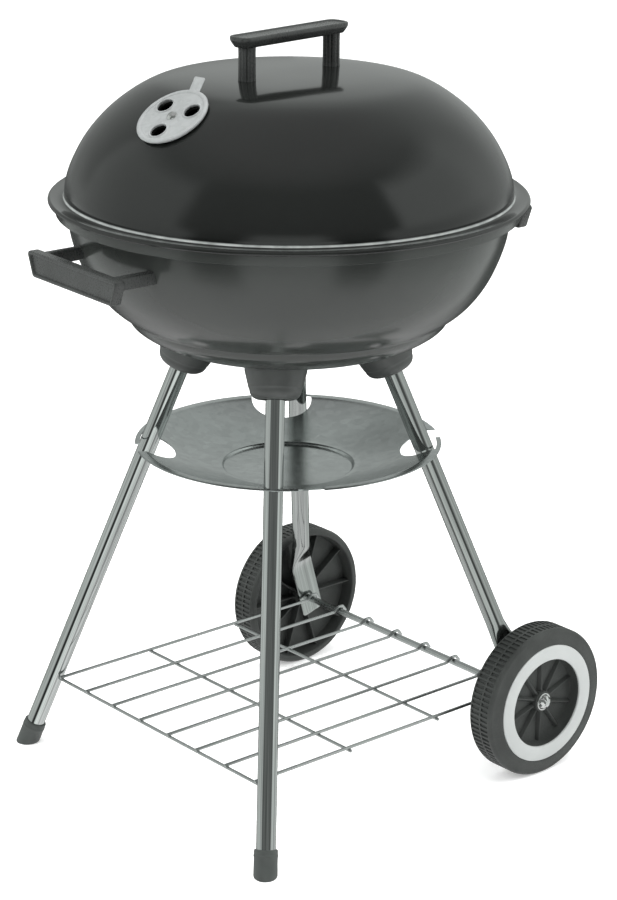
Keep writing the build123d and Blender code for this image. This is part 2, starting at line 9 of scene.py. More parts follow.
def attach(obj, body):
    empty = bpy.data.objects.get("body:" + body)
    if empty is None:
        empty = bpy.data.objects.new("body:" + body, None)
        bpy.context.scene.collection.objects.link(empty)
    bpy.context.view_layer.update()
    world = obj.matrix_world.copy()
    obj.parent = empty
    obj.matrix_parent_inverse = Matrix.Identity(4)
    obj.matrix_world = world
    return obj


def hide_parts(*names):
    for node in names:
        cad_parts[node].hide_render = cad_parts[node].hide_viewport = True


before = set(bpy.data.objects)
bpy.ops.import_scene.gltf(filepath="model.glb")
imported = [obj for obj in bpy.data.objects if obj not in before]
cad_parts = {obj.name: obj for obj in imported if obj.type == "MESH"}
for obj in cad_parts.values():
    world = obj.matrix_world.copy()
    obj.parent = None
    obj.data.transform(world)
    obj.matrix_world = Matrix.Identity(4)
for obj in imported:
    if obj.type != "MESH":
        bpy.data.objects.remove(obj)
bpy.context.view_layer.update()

MM = 0.001
sc = bpy.context.scene


# ================================================================ curves and profiles (mm)
def spline(points, per=8, t0=None, t1=None):
    """Smooth cubic through 2-D points, chord-length parameter; t0 and t1 are end directions."""
    p = np.array(points, float)
    h = np.sqrt(((p[1:] - p[:-1]) ** 2).sum(1))
    m = len(p)
    a, b = np.zeros((m, m)), np.zeros((m, p.shape[1]))
    for i in range(1, m - 1):
        a[i, i - 1], a[i, i], a[i, i + 1] = 1 / h[i - 1], 2 * (1 / h[i - 1] + 1 / h[i]), 1 / h[i]
        b[i] = 3 * ((p[i] - p[i - 1]) / h[i - 1] ** 2 + (p[i + 1] - p[i]) / h[i] ** 2)
    if t0 is None:
        a[0, 0], a[0, 1] = 2, 1
        b[0] = 3 * (p[1] - p[0]) / h[0]
    else:
        a[0, 0] = 1
        b[0] = np.array(t0, float) / np.linalg.norm(t0)
    if t1 is None:
        a[-1, -1], a[-1, -2] = 2, 1
        b[-1] = 3 * (p[-1] - p[-2]) / h[-1]
    else:
        a[-1, -1] = 1
        b[-1] = np.array(t1, float) / np.linalg.norm(t1)
    d = np.linalg.solve(a, b)
    out = []
    for i in range(m - 1):
        for k in range(per):
            t = k / per
            out.append(tuple((2 * t ** 3 - 3 * t ** 2 + 1) * p[i] + (t ** 3 - 2 * t ** 2 + t) * h[i] * d[i]
                             + (-2 * t ** 3 + 3 * t ** 2) * p[i + 1] + (t ** 3 - t ** 2) * h[i] * d[i + 1]))
    out.append(tuple(p[-1]))
    return out


def arc3(a, b, c, n=8):
    """Points on the circle through a, b, c, from a to c."""
    ax, ay, bx, by, cx, cy = *a, *b, *c
    d = 2 * (ax * (by - cy) + bx * (cy - ay) + cx * (ay - by))
    ux = ((ax * ax + ay * ay) * (by - cy) + (bx * bx + by * by) * (cy - ay) + (cx * cx + cy * cy) * (ay - by)) / d
    uy = ((ax * ax + ay * ay) * (cx - bx) + (bx * bx + by * by) * (ax - cx) + (cx * cx + cy * cy) * (bx - ax)) / d
    r = math.hypot(ax - ux, ay - uy)
    t0, t1, t2 = (math.atan2(y - uy, x - ux) for x, y in (a, b, c))
    while t1 < t0:
        t1 += 2 * math.pi
    while t2 < t0:
        t2 += 2 * math.pi
    if t1 > t2:
        t2 -= 2 * math.pi
    return [(ux + r * math.cos(t0 + (t2 - t0) * k / n), uy + r * math.sin(t0 + (t2 - t0) * k / n)) for k in range(n + 1)]


def offset_points(pts, t):
    out = []
    for i, (x, y) in enumerate(pts):
        x0, y0 = pts[max(i - 1, 0)]
        x1, y1 = pts[min(i + 1, len(pts) - 1)]
        d = math.hypot(x1 - x0, y1 - y0)
        out.append((x - (y1 - y0) / d * t, y + (x1 - x0) / d * t))
    return out


def tidy(pts, eps=1e-4):
    out = []
    for p in pts:
        if not out or math.dist(out[-1], p) > eps:
            out.append(tuple(p))
    if math.dist(out[0], out[-1]) < eps:
        out.pop()
    return out


def polygon(pts, inset=0.0, radius=0.0, n=6):
    """Counter-clockwise polygon moved inwards by inset, its corners rounded."""
    p = [Vector(q) for q in pts]
    m = len(p)
    corners = []
    for i in range(m):
        a, b, c = p[i - 1], p[i], p[(i + 1) % m]
        d0, d1 = (b - a).normalized(), (c - b).normalized()
        n0, n1 = Vector((-d0.y, d0.x)), Vector((-d1.y, d1.x))
        k = inset / (1 + n0.dot(n1))
        corners.append(b + (n0 + n1) * k)
    out = []
    for i in range(m):
        a, b, c = corners[i - 1], corners[i], corners[(i + 1) % m]
        d0, d1 = (a - b).normalized(), (c - b).normalized()
        half = math.acos(max(-1, min(1, d0.dot(d1)))) / 2
        r = max(radius, 0.02)
        t = r / math.tan(half)
        centre = b + (d0 + d1).normalized() * (r / math.sin(half))
        s, e = b + d0 * t - centre, b + d1 * t - centre
        a0 = math.atan2(s.y, s.x)
        sweep_ = math.atan2(e.y, e.x) - a0
        sweep_ = (sweep_ + math.pi) % (2 * math.pi) - math.pi
        for k in range(n + 1):
            t_ = a0 + sweep_ * k / n
            out.append((centre.x + r * math.cos(t_), centre.y + r * math.sin(t_)))
    return out


def rect(w, h, inset=0.0, radius=0.0, n=6):
    return polygon([(-w / 2, -h / 2), (w / 2, -h / 2), (w / 2, h / 2), (-w / 2, h / 2)], inset, radius, n)


# ================================================================ meshes (mm in, m out)
class Shape:
    """Vertices in mm, faces, and a UV for each face corner: u once round, v along in units of 100 mm."""

    def __init__(self):
        self.v, self.f, self.uv = [], [], []

    def add(self, v, f, uv=None, m=None):
        base = len(self.v)
        self.v += [tuple((m @ Vector(p)) if m is not None else p) for p in v]
        self.f += [tuple(base + i for i in q) for q in f]
        self.uv += uv if uv is not None else [[(0.0, 0.0)] * len(q) for q in f]
        return self


def lathe(prof, n=128, closed=True, m=None, rad=None, thetas=None, into=None):
    s = into or Shape()
    th = thetas if thetas is not None else [2 * math.pi * j / n for j in range(n)]
    n = len(th)
    prof = tidy(prof) if closed else [tuple(p) for p in prof]
    v, rings, run = [], [], [0.0]
    for i, (r, z) in enumerate(prof):
        if i:
            run.append(run[-1] + math.dist(prof[i - 1], prof[i]))
        if abs(r) < 1e-6:
            rings.append([len(v)])
            v.append((0, 0, z))
        else:
            rings.append(list(range(len(v), len(v) + n)))
            for t in th:
                q = rad(r, z, t) if rad else r
                v.append((q * math.cos(t), q * math.sin(t), z))
    run.append(run[-1] + math.dist(prof[-1], prof[0]))
    f, uv = [], []
    last = len(prof) if closed else len(prof) - 1
    for i in range(last):
        a, b = rings[i], rings[(i + 1) % len(prof)]
        va, vb = run[i] / 100, run[i + 1] / 100
        if len(a) == 1 and len(b) == 1:
            continue
        for j in range(n):
            k = (j + 1) % n
            u0, u1 = j / n, (j + 1) / n
            if len(a) == 1:
                f.append((a[0], b[k], b[j])); uv.append([(u0, va), (u1, vb), (u0, vb)])
            elif len(b) == 1:
                f.append((a[j], a[k], b[0])); uv.append([(u0, va), (u1, va), (u0, vb)])
            else:
                f.append((a[j], a[k], b[k], b[j])); uv.append([(u0, va), (u1, va), (u1, vb), (u0, vb)])
    return s.add(v, f, uv, m)


def stack(rings, cap=True, into=None, m=None):
    """Skins rings of equal length."""
    s = into or Shape()
    n = len(rings[0])
    v = [p for r in rings for p in r]
    f, uv, run = [], [], 0.0
    for i in range(len(rings) - 1):
        step = math.dist(rings[i][0], rings[i + 1][0])
        for j in range(n):
            k = (j + 1) % n
            f.append((i * n + j, i * n + k, (i + 1) * n + k, (i + 1) * n + j))
            uv.append([(j / n, run / 100), ((j + 1) / n, run / 100), ((j + 1) / n, (run + step) / 100), (j / n, (run + step) / 100)])
        run += step
    if cap:
        f.append(tuple(reversed(range(n))))
        uv.append([(0.5 + 0.01 * math.cos(6.28 * j / n), 0.01 * math.sin(6.28 * j / n)) for j in range(n)])
        f.append(tuple((len(rings) - 1) * n + j for j in range(n)))
        uv.append([(0.5 + 0.01 * math.cos(6.28 * j / n), 0.01 * math.sin(6.28 * j / n)) for j in range(n)])
    return s.add(v, f, uv, m)


def pipe(path, r, n=20, into=None, ends=True):
    """Round wire along 3-D points, its ends slightly rounded."""
    p = [Vector(q) for q in path]
    tang = []
    for i in range(len(p)):
        a = p[max(i - 1, 0)]
        b = p[min(i + 1, len(p) - 1)]
        tang.append((b - a).normalized())
    up = Vector((0, 0, 1)) if abs(tang[0].z) < 0.9 else Vector((1, 0, 0))
    side = tang[0].cross(up).normalized()
    rings = []

    def ring(c, t, rr):
        nonlocal side
        side = (side - t * side.dot(t)).normalized()
        other = t.cross(side)
        rings.append([tuple(c + (side * math.cos(2 * math.pi * j / n) + other * math.sin(2 * math.pi * j / n)) * rr) for j in range(n)])

    if ends:
        ring(p[0], tang[0], r * 0.62)
        ring(p[0] + tang[0] * r * 0.12, tang[0], r * 0.88)
        ring(p[0] + tang[0] * r * 0.4, tang[0], r)
    else:
        ring(p[0], tang[0], r)
    for i in range(1, len(p) - 1):
        ring(p[i], tang[i], r)
    if ends:
        ring(p[-1] - tang[-1] * r * 0.4, tang[-1], r)
        ring(p[-1] - tang[-1] * r * 0.12, tang[-1], r * 0.88)
        ring(p[-1], tang[-1], r * 0.62)
    else:
        ring(p[-1], tang[-1], r)
    return stack(rings, into=into)


def bend(points, radius, n=5):
    """Straight runs with their corners rounded, in 3-D."""
    p = [Vector(q) for q in points]
    out = [tuple(p[0])]
    for i in range(1, len(p) - 1):
        a, b, c = p[i - 1], p[i], p[i + 1]
        d0, d1 = (a - b).normalized(), (c - b).normalized()
        ang = math.acos(max(-1, min(1, d0.dot(d1))))
        t = min(radius / math.tan(ang / 2), (a - b).length * 0.45, (c - b).length * 0.45)
        q0, q1 = b + d0 * t, b + d1 * t
        for k in range(n + 1):
            s_ = k / n
            out.append(tuple(q0 * (1 - s_) ** 2 + b * 2 * s_ * (1 - s_) + q1 * s_ ** 2))
    out.append(tuple(p[-1]))
    return out


def prism(points, z0, z1, into=None, m=None):
    return stack([[(x, y, z0) for x, y in points], [(x, y, z1) for x, y in points]], into=into, m=m)


def make(name, shape, material, body, node=(), sharp=32, bevel=0.0, segments=2):
    me = bpy.data.meshes.new(name)
    me.from_pydata([tuple(c * MM for c in p) for p in shape.v], [], shape.f)
    layer = me.uv_layers.new(name="UVMap")
    flat = [c for q in shape.uv for c in q]
    for i, c in enumerate(flat):
        layer.data[i].uv = c
    bm = bmesh.new()
    bm.from_mesh(me)
    bmesh.ops.remove_doubles(bm, verts=bm.verts, dist=1e-7)
    bmesh.ops.recalc_face_normals(bm, faces=bm.faces)
    bm.to_mesh(me)
    bm.free()
    ob = bpy.data.objects.new(name, me)
    sc.collection.objects.link(ob)
    me.materials.append(material)
    if bevel:
        mod = ob.modifiers.new("bevel", "BEVEL")
        mod.width, mod.segments, mod.limit_method, mod.angle_limit = bevel * MM, segments, "ANGLE", math.radians(40)
        bake(ob)
    smooth(ob, sharp)
    if body:
        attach(ob, body)
    if node:
        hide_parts(*([node] if isinstance(node, str) else node))
    return ob


def smooth(ob, sharp):
    me = ob.data
    me.polygons.foreach_set("use_smooth", [True] * len(me.polygons))
    me.set_sharp_from_angle(angle=math.radians(sharp))


def bake(ob):
    dg = bpy.context.evaluated_depsgraph_get()
    dg.update()
    me = bpy.data.meshes.new_from_object(ob.evaluated_get(dg), preserve_all_data_layers=True, depsgraph=dg)
    me.name = ob.name
    ob.modifiers.clear()
    ob.data = me


def cut(ob, cutter_shapes, sharp=32):
    """Takes closed shapes out of ob."""
    tools = []
    for i, s in enumerate(cutter_shapes):
        t = make("tool_%s_%d" % (ob.name, i), s, ob.data.materials[0], None)
        mod = ob.modifiers.new("cut%d" % i, "BOOLEAN")
        mod.operation, mod.solver, mod.object = "DIFFERENCE", "EXACT", t
        tools.append(t)
    bake(ob)
    for t in tools:
        me = t.data
        bpy.data.objects.remove(t)
        bpy.data.meshes.remove(me)
    bm = bmesh.new()
    bm.from_mesh(ob.data)
    bmesh.ops.remove_doubles(bm, verts=bm.verts, dist=2e-6)
    bmesh.ops.dissolve_degenerate(bm, dist=1e-6, edges=bm.edges)
    bm.to_mesh(ob.data)
    bm.free()
    smooth(ob, sharp)
    return ob


def basis(origin, z, x=None):
    z = Vector(z).normalized()
    x = Vector(x) if x is not None else (Vector((1, 0, 0)) if abs(z.x) < 0.9 else Vector((0, 1, 0)))
    x = (x - z * x.dot(z)).normalized()
    y = z.cross(x)
    m = Matrix((x, y, z)).transposed().to_4x4()
    m.translation = Vector(origin)
    return m


def turn_z(deg):
    return Matrix.Rotation(math.radians(deg), 4, "Z")


MIRROR = Matrix.Diagonal((-1, 1, 1, 1))


# ================================================================ materials
class Nodes:
    def __init__(self, name):
        self.m = bpy.data.materials.new(name)
        self.m.use_nodes = True
        self.t = self.m.node_tree
        self.b = next(n for n in self.t.nodes if n.type == "BSDF_PRINCIPLED")

    def new(self, kind, **inputs):
        n = self.t.nodes.new(kind)
        for k, v in inputs.items():
            n.inputs[k.replace("_", " ")].default_value = v
        return n

    def link(self, a, b):
        self.t.links.new(a, b)

    def coords(self, scale=(1, 1, 1), use="Object"):
        tc = self.t.nodes.new("ShaderNodeTexCoord")
        mp = self.t.nodes.new("ShaderNodeMapping")
        mp.inputs["Scale"].default_value = scale
        self.link(tc.outputs[use], mp.inputs["Vector"])
        return mp.outputs["Vector"]

    def noise(self, vec, scale, detail=3.0, rough=0.5):
        n = self.t.nodes.new("ShaderNodeTexNoise")
        n.inputs["Scale"].default_value = scale
        n.inputs["Detail"].default_value = detail
        n.inputs["Roughness"].default_value = rough
        self.link(vec, n.inputs["Vector"])
        return n.outputs["Fac"]

    def ramp(self, fac, stops):
        r = self.t.nodes.new("ShaderNodeValToRGB")
        e = r.color_ramp.elements
        while len(e) > 1:
            e.remove(e[-1])
        e[0].position, e[0].color = stops[0][0], self.rgba(stops[0][1])
        for p, c in stops[1:]:
            q = e.new(p)
            q.color = self.rgba(c)
        self.link(fac, r.inputs["Fac"])
        return r.outputs["Color"]

    @staticmethod
    def rgba(c):
        return (c, c, c, 1) if isinstance(c, (int, float)) else (*c, 1)

    def bump(self, height, strength, distance, normal=None):
        b = self.t.nodes.new("ShaderNodeBump")
        b.inputs["Strength"].default_value = strength
        b.inputs["Distance"].default_value = distance
        self.link(height, b.inputs["Height"])
        if normal is not None:
            self.link(normal, b.inputs["Normal"])
        return b.outputs["Normal"]

    def set(self, **k):
        for name, v in k.items():
            self.b.inputs[name.replace("_", " ")].default_value = v


def enamel(name, base=0.0125, rough=0.14, edge=None):
    n = Nodes(name)
    v = n.coords()
    soft = n.noise(v, 5.0, 3.0)
    tone = n.ramp(soft, [(0.3, (base * 0.85, base * 0.93, base * 0.87)), (0.7, (base * 1.1, base * 1.22, base * 1.14))])
    if edge:
        # painted highlight: a pale band in the base colour along the pressed corner where dome and flange meet,
        # standing in for light reflected in the fillet
        sep = n.t.nodes.new("ShaderNodeSeparateXYZ")
        n.link(v, sep.inputs[0])
        span = n.t.nodes.new("ShaderNodeMapRange")
        for k, val in zip(("From Min", "From Max", "To Min", "To Max"), (edge[0], edge[1], 0.0, 1.0)):
            span.inputs[k].default_value = val
        n.link(sep.outputs["Z"], span.inputs["Value"])
        mask = n.ramp(span.outputs["Result"], [(0.0, 0.0), (0.12, 0.0), (0.32, 1.0), (0.62, 1.0), (0.9, 0.0)])
        # pale colour of the painted highlight, broken up by fine noise
        painted_highlight = n.ramp(n.noise(v, 60.0, 3.0), [(0.3, (0.20, 0.215, 0.21)), (0.6, (0.34, 0.36, 0.35))])
        mix = n.t.nodes.new("ShaderNodeMix")
        mix.data_type = "RGBA"
        n.link(mask, mix.inputs[0])
        n.link(tone, mix.inputs[6])
        n.link(painted_highlight, mix.inputs[7])
        tone = mix.outputs[2]
    n.link(tone, n.b.inputs["Base Color"])
    haze = n.noise(v, 38.0, 5.0, 0.6)
    n.link(n.ramp(haze, [(0.25, rough * 0.93), (0.75, rough * 1.1)]), n.b.inputs["Roughness"])
    peel = n.noise(v, 520.0, 2.0)
    wave = n.noise(v, 16.0, 2.0)
    b1 = n.bump(wave, 0.012, 0.002)
    n.link(n.bump(peel, 0.008, 0.0003, b1), n.b.inputs["Normal"])
    n.set(IOR=1.5, Coat_Weight=0.12, Coat_Roughness=0.1)
    return n.m


def plastic(name, color, rough=0.42, grain=900.0, strength=0.12, vary=0.25, spec=0.5):
    n = Nodes(name)
    v = n.coords()
    tone = n.noise(v, 30.0, 4.0)
    dark = tuple(c * (1 - vary) for c in color)
    lite = tuple(c * (1 + vary) for c in color)
    n.link(n.ramp(tone, [(0.3, dark), (0.7, lite)]), n.b.inputs["Base Color"])
    fine = n.noise(v, grain, 3.0, 0.6)
    n.link(n.ramp(fine, [(0.3, rough * 0.85), (0.7, min(1.0, rough * 1.2))]), n.b.inputs["Roughness"])
    n.link(n.bump(fine, strength, 0.0003), n.b.inputs["Normal"])
    n.set(Specular_IOR_Level=spec)
    return n.m


def plated(name, base=(0.60, 0.625, 0.615), rough=0.2, around=46.0, lines=0.10, low=0.84, high=1.08):
    """Bright plated steel with fine drawing lines along its length."""
    n = Nodes(name)
    uv = n.coords((around, 0.35, 1.0), "UV")
    line = n.noise(uv, 1.0, 4.0, 0.7)
    v = n.coords()
    cloud = n.noise(v, 42.0, 4.0)
    col = n.ramp(line, [(0.32, tuple(c * low for c in base)), (0.68, tuple(min(1, c * high) for c in base))])
    n.link(col, n.b.inputs["Base Color"])
    n.link(n.ramp(cloud, [(0.3, rough * 0.8), (0.75, rough * 1.35)]), n.b.inputs["Roughness"])
    n.link(n.bump(line, lines, 0.0002), n.b.inputs["Normal"])
    n.set(Metallic=1.0)
    return n.m


def galvanised(name, base=(0.52, 0.55, 0.545), rough=0.36, spangle=120.0, metal=1.0):
    n = Nodes(name)
    v = n.coords()
    vo = n.t.nodes.new("ShaderNodeTexVoronoi")
    vo.inputs["Scale"].default_value = spangle
    n.link(v, vo.inputs["Vector"])
    cloud = n.noise(v, 11.0, 5.0, 0.6)
    col = n.ramp(cloud, [(0.3, tuple(c * 0.86 for c in base)), (0.7, tuple(c * 1.08 for c in base))])
    mix = n.t.nodes.new("ShaderNodeMix")
    mix.data_type, mix.blend_type = "RGBA", "MULTIPLY"
    mix.inputs[0].default_value = 0.16
    n.link(col, mix.inputs[6])
    grey = n.t.nodes.new("ShaderNodeRGBToBW")
    n.link(vo.outputs["Color"], grey.inputs[0])
    n.link(grey.outputs[0], mix.inputs[7])
    n.link(mix.outputs[2], n.b.inputs["Base Color"])
    fine = n.noise(v, 260.0, 4.0, 0.65)
    n.link(n.ramp(fine, [(0.25, rough * 0.85), (0.75, rough * 1.2)]), n.b.inputs["Roughness"])
    n.link(n.bump(fine, 0.10, 0.0003), n.b.inputs["Normal"])
    n.set(Metallic=metal)
    return n.m


# the lid's enamel carries a painted highlight in the band z 0.5814–0.5846 m along the flange corner
M_LID = enamel("lid_enamel", 0.0075, 0.11, (0.5814, 0.5846))
# painted light: lid and bowl are one enamel, but the lid's base colour is set darker for the overhead light it catches
# and the bowl's lighter for the overhead light it misses
M_BOWL = enamel("bowl_enamel", 0.029, 0.19)
M_HANDLE = plastic("handle_plastic", (0.029, 0.031, 0.030), 0.28, 700.0, 0.09)
M_SOCKET = plastic("socket_plastic", (0.052, 0.056, 0.054), 0.42, 700.0, 0.12)
M_FOOT = plastic("foot_plastic", (0.048, 0.054, 0.051), 0.45, 800.0, 0.14)
M_WHEEL = plastic("wheel_plastic_grain", (0.033, 0.036, 0.034), 0.5, 520.0, 0.22)
M_WHITE = plastic("trim_plastic", (0.40, 0.415, 0.41), 0.34, 600.0, 0.05, 0.04)
M_TUBE = plated("leg_plating", (0.62, 0.645, 0.635), 0.06, 22.0, 0.03, 0.52, 1.12)
# painted shade: the rear legs get a darker copy of the front legs' plating, for the darker look they have behind the
# ash pan
M_TUBE_REAR_SHADED = plated("rear_leg_plating_shaded", (0.44, 0.46, 0.45), 0.10, 22.0, 0.03, 0.62, 1.15)
M_WIRE = plated("wire_plating", (0.50, 0.52, 0.515), 0.26, 6.0)
M_AXLE = plated("axle_plating", (0.52, 0.54, 0.535), 0.24, 10.0)
M_PAN = galvanised("pan_zinc", (0.49, 0.52, 0.515), 0.22, 150.0)
M_VENT = galvanised("vent_sheet", (0.40, 0.415, 0.415), 0.33, 300.0, 0.5)
M_BRIGHT = plated("hardware_plating", (0.72, 0.73, 0.72), 0.16, 12.0)
M_GRATE = plated("grate_plating", (0.55, 0.56, 0.55), 0.25, 6.0)
M_COAL = plated("coal_grate_plating", (0.42, 0.42, 0.41), 0.34, 6.0)

# ================================================================ lid
dome_pts = [(0.0, 696.8), (35.0, 696.6), (60.0, 696.0), (85.0, 694.7), (105.0, 692.6), (125.0, 688.6), (142.0, 681.1),
            (158.0, 670.8), (172.0, 659.4), (184.0, 646.8), (194.0, 633.6), (202.0, 619.6), (207.6, 607.2), (211.0, 596.0), (212.5, 585.6)]
dome_in = offset_points([(-35.0, 696.6)] + dome_pts + [(212.7, 582.0)], -1.5)[1:-1]
dome_in[0] = (0.0, dome_in[0][1])
dome = spline(dome_pts, 7, (1, 0), (0.05, -1))
lid_prof = (dome + arc3(dome_pts[-1], (213.1, 582.6), (215.2, 581.0), 6)[1:] + [(220.0, 581.25)]
            + arc3((224.6, 581.5), (227.3, 581.0), (228.0, 579.6), 6) + arc3((228.0, 579.6), (227.6, 578.3), (226.2, 577.8), 5)[1:]
            + arc3((226.2, 577.8), (224.8, 578.3), (224.2, 579.6), 5)[1:] + [(219.5, 579.55)]
            + arc3((215.0, 579.5), (211.9, 581.6), dome_in[-1], 6)[:-1]
            + spline(dome_in[::-1], 4, (-0.05, 1), (-1, 0)))
VENT_P, VENT_N = Vector((15.7838, -150.173, 675.645)), Vector((0.057323, -0.545394, 0.836217)).normalized()
va = math.radians(-84.0)
tilt = math.radians(33.2572)
VENT_UP = Vector((-math.cos(tilt) * math.cos(va), -math.cos(tilt) * math.sin(va), math.sin(tilt)))
VENT = basis(VENT_P, VENT_N, VENT_UP)
holes = [(20 * math.cos(math.radians(a)), 20 * math.sin(math.radians(a))) for a in (60, 180, 300)]
lid_shell = make("lid_shell", lathe(lid_prof, 256), M_LID, "lid", "lid", sharp=50)
cut(lid_shell, [lathe([(0, -8), (7.4, -8), (7.4, 8), (0, 8)], 40, m=VENT @ Matrix.Translation((x, y, 0))) for x, y in holes], 50)


# ================================================================ vent dampers
def damper_shape(drop, m):
    s = Shape()
    n = 96
    # the flat of the disc runs in one piece from the centre to the rim; its three holes are cut afterwards
    lathe([(0, 0), (30.6, 0)] + arc3((30.6, 0.0), (31.6, -0.2 * drop), (32.6, -drop), 4)[1:] + [(34.4, -drop)]
          + arc3((34.6, -drop + 0.15), (34.9, 0.9), (33.0, 2.0), 10) + arc3((33.0, 2.0), (31.6, 1.95), (30.5, 1.2), 6)[1:]
          + [(29.8, 1.2), (0, 1.2)], n, m=m, into=s)
    return s


def collar(m, r=7.8):
    return lathe([(r, 0.2), (r + 0.15, 1.7)] + arc3((r + 0.15, 1.7), (r + 0.8, 2.35), (r + 1.5, 1.9), 5)[1:] + arc3((r + 1.5, 1.9), (r + 2.1, 1.3), (r + 3.0, 1.05), 4)[1:]
                 + [(r + 3.0, 0.3), (r, 0.1)], 56, m=m)


def damper(name, m, drop, body, node):
    ob = make(name, damper_shape(drop, m), M_VENT, body, node, sharp=38)
    cut(ob, [lathe([(0, -4), (7.8, -4), (7.8, 5), (0, 5)], 56, m=m @ Matrix.Translation((x, y, 0))) for x, y in holes], 38)
    rings = Shape()
    for x, y in holes:
        c = collar(Matrix.Identity(4))
        rings.add(c.v, c.f, c.uv, m @ Matrix.Translation((x, y, 0)))
    make(name + "_collars", rings, M_VENT, body, (), sharp=50)
    tab = []
    w = 13.0
    path = [(31.8, 1.0), (33.4, 1.15), (34.6, 1.45), (36.0, 2.05), (46.4, 6.65)]
    for i, (x, z) in enumerate(path):
        x0, z0 = path[max(i - 1, 0)]
        x1, z1 = path[min(i + 1, len(path) - 1)]
        d = math.hypot(x1 - x0, z1 - z0)
        nx, nz = -(z1 - z0) / d, (x1 - x0) / d
        ww = w / 2 - (0.9 if i == len(path) - 1 else 0)
        tab.append([(x - nx * 0.55, -ww, z - nz * 0.55), (x - nx * 0.55, ww, z - nz * 0.55), (x + nx * 0.55, ww, z + nz * 0.55), (x + nx * 0.55, -ww, z + nz * 0.55)])
    x, z = path[-1]
    tab.insert(-1, [(q[0] - 1.0 * 0.914, math.copysign(w / 2, q[1]), q[2] - 1.0 * 0.405) for q in tab[-1]])
    make(name + "_tab", stack(tab, m=m), M_VENT, body, (), sharp=30, bevel=0.22)


def rivet_shape(m):
    head = arc3((5.2, 2.1), (3.5, 3.75), (0.0, 4.3), 8)
    return lathe([(0, -3.2), (3.2, -3.2), (4.2, -2.7), (4.4, -1.7), (2.4, -1.7), (2.4, 1.35), (5.0, 1.35), (5.3, 1.7)] + head, 40, m=m)


damper("vent_disc", VENT @ Matrix.Translation((0, 0, 0.4)), 1.0, "lid_vent", "lid_vent_damper")
make("vent_rivet", rivet_shape(VENT), M_BRIGHT, "lid", "lid_vent_rivet", sharp=45)
UNDER = Matrix.Translation((0, 0, 439.0)) @ Matrix.Rotation(math.pi, 4, "X")
damper("bottom_vent_disc", turn_z(-90) @ Matrix.Translation((0, 0, -0.4)) @ UNDER, 0.05, "bowl_vent", "bowl_vent_damper")
make("bottom_vent_rivet", rivet_shape(UNDER), M_BRIGHT, "base", "bowl_vent_rivet", sharp=45)

# ================================================================ lid handle
bar = Shape()
W, L = 26.0, 140.0
bar_rings = []
for z, inset, r in ((727.0, 5.6, 4.0), (727.15, 4.6, 5.0), (727.7, 3.9, 5.6), (730.0, 2.2, 7.2), (732.4, 0.7, 8.6), (733.6, 0.12, 9.0), (734.6, 0.0, 9.0),
                    (736.2, 0.0, 9.0), (736.9, 0.25, 8.8), (737.35, 0.8, 8.4), (737.5, 1.5, 7.8), (737.45, 2.3, 7.2), (737.1, 2.8, 6.8), (736.5, 3.1, 6.5), (736.2, 3.5, 6.2),
                    (736.15, 5.5, 4.5)):
    bar_rings.append([(x, y, z) for x, y in rect(W, L, inset, r, 8)])
stack(bar_rings, into=bar, m=turn_z(5))


def post_ring(cx, cy, z, r, flute, n=96):
    out = []
    for j in range(n):
        t = 2 * math.pi * j / n
        k = abs(((t / (2 * math.pi) * 8) % 1) - 0.5) * 2          # 1 between ribs, 0 on a rib
        q = r - flute * max(0.0, (k - 0.62) / 0.38) ** 0.7
        out.append((cx + q * math.cos(t + math.radians(22.5 + 22.5)), cy + q * math.sin(t + math.radians(45)), z))
    return out


for s_ in (-1, 1):
    cy = s_ * 55.5
    zs = [(696.0, 8.5, 1.2), (697.0, 8.4, 1.3), (700.0, 8.25, 1.4), (710.0, 8.2, 1.4), (722.0, 8.2, 1.4), (726.6, 8.35, 1.3), (728.5, 8.6, 1.2)]
    stack([post_ring(0, cy, z, r, fl) for z, r, fl in zs], into=bar, m=turn_z(5))
make("lid_grip", bar, M_HANDLE, "lid", "lid_handle", sharp=38)
scr = Shape()
for s_ in (-1, 1):
    lathe([(0, 690.2), (3.0, 690.2), (3.7, 690.5), (4.7, 691.8), (4.8, 694.2), (2.0, 694.3), (2.0, 697.0), (0, 697.0)], 32, m=turn_z(5) @ Matrix.Translation((0, s_ * 55.5, 0)), into=scr)
make("lid_grip_screws", scr, M_BRIGHT, "lid", "lid_handle_screws", sharp=40)

# ================================================================ bowl
floor_pts = [(98.0, 439.0), (112.0, 440.7), (124.5, 444.2), (136.0, 449.2), (145.9, 455.2), (152.0, 460.6), (155.0, 466.0)]
wall_pts = [(157.8, 469.2), (166.4, 475.2), (176.2, 484.0), (184.1, 493.6), (190.7, 503.6), (195.9, 513.6),
            (200.2, 523.6), (203.8, 533.6), (206.7, 543.6), (208.5, 553.6), (209.4, 563.6), (209.6, 572.0)]
floor_in = offset_points([(90.0, 439.0)] + floor_pts + [(156.4, 467.6)], 1.5)[1:-1]
wall_in = offset_points([(156.4, 467.6)] + wall_pts + [(209.6, 576.0)], 1.5)[1:-1]
out_floor = spline(floor_pts, 6, (1, 0), (0.45, 1))
out_wall = spline(wall_pts, 5)
in_wall = spline(wall_in[::-1], 4)
in_floor = spline(floor_in[::-1], 4, (-0.45, -1), (-1, 0))
crease = arc3(out_floor[-1], (155.9, 467.9), out_wall[0], 4)[1:-1]
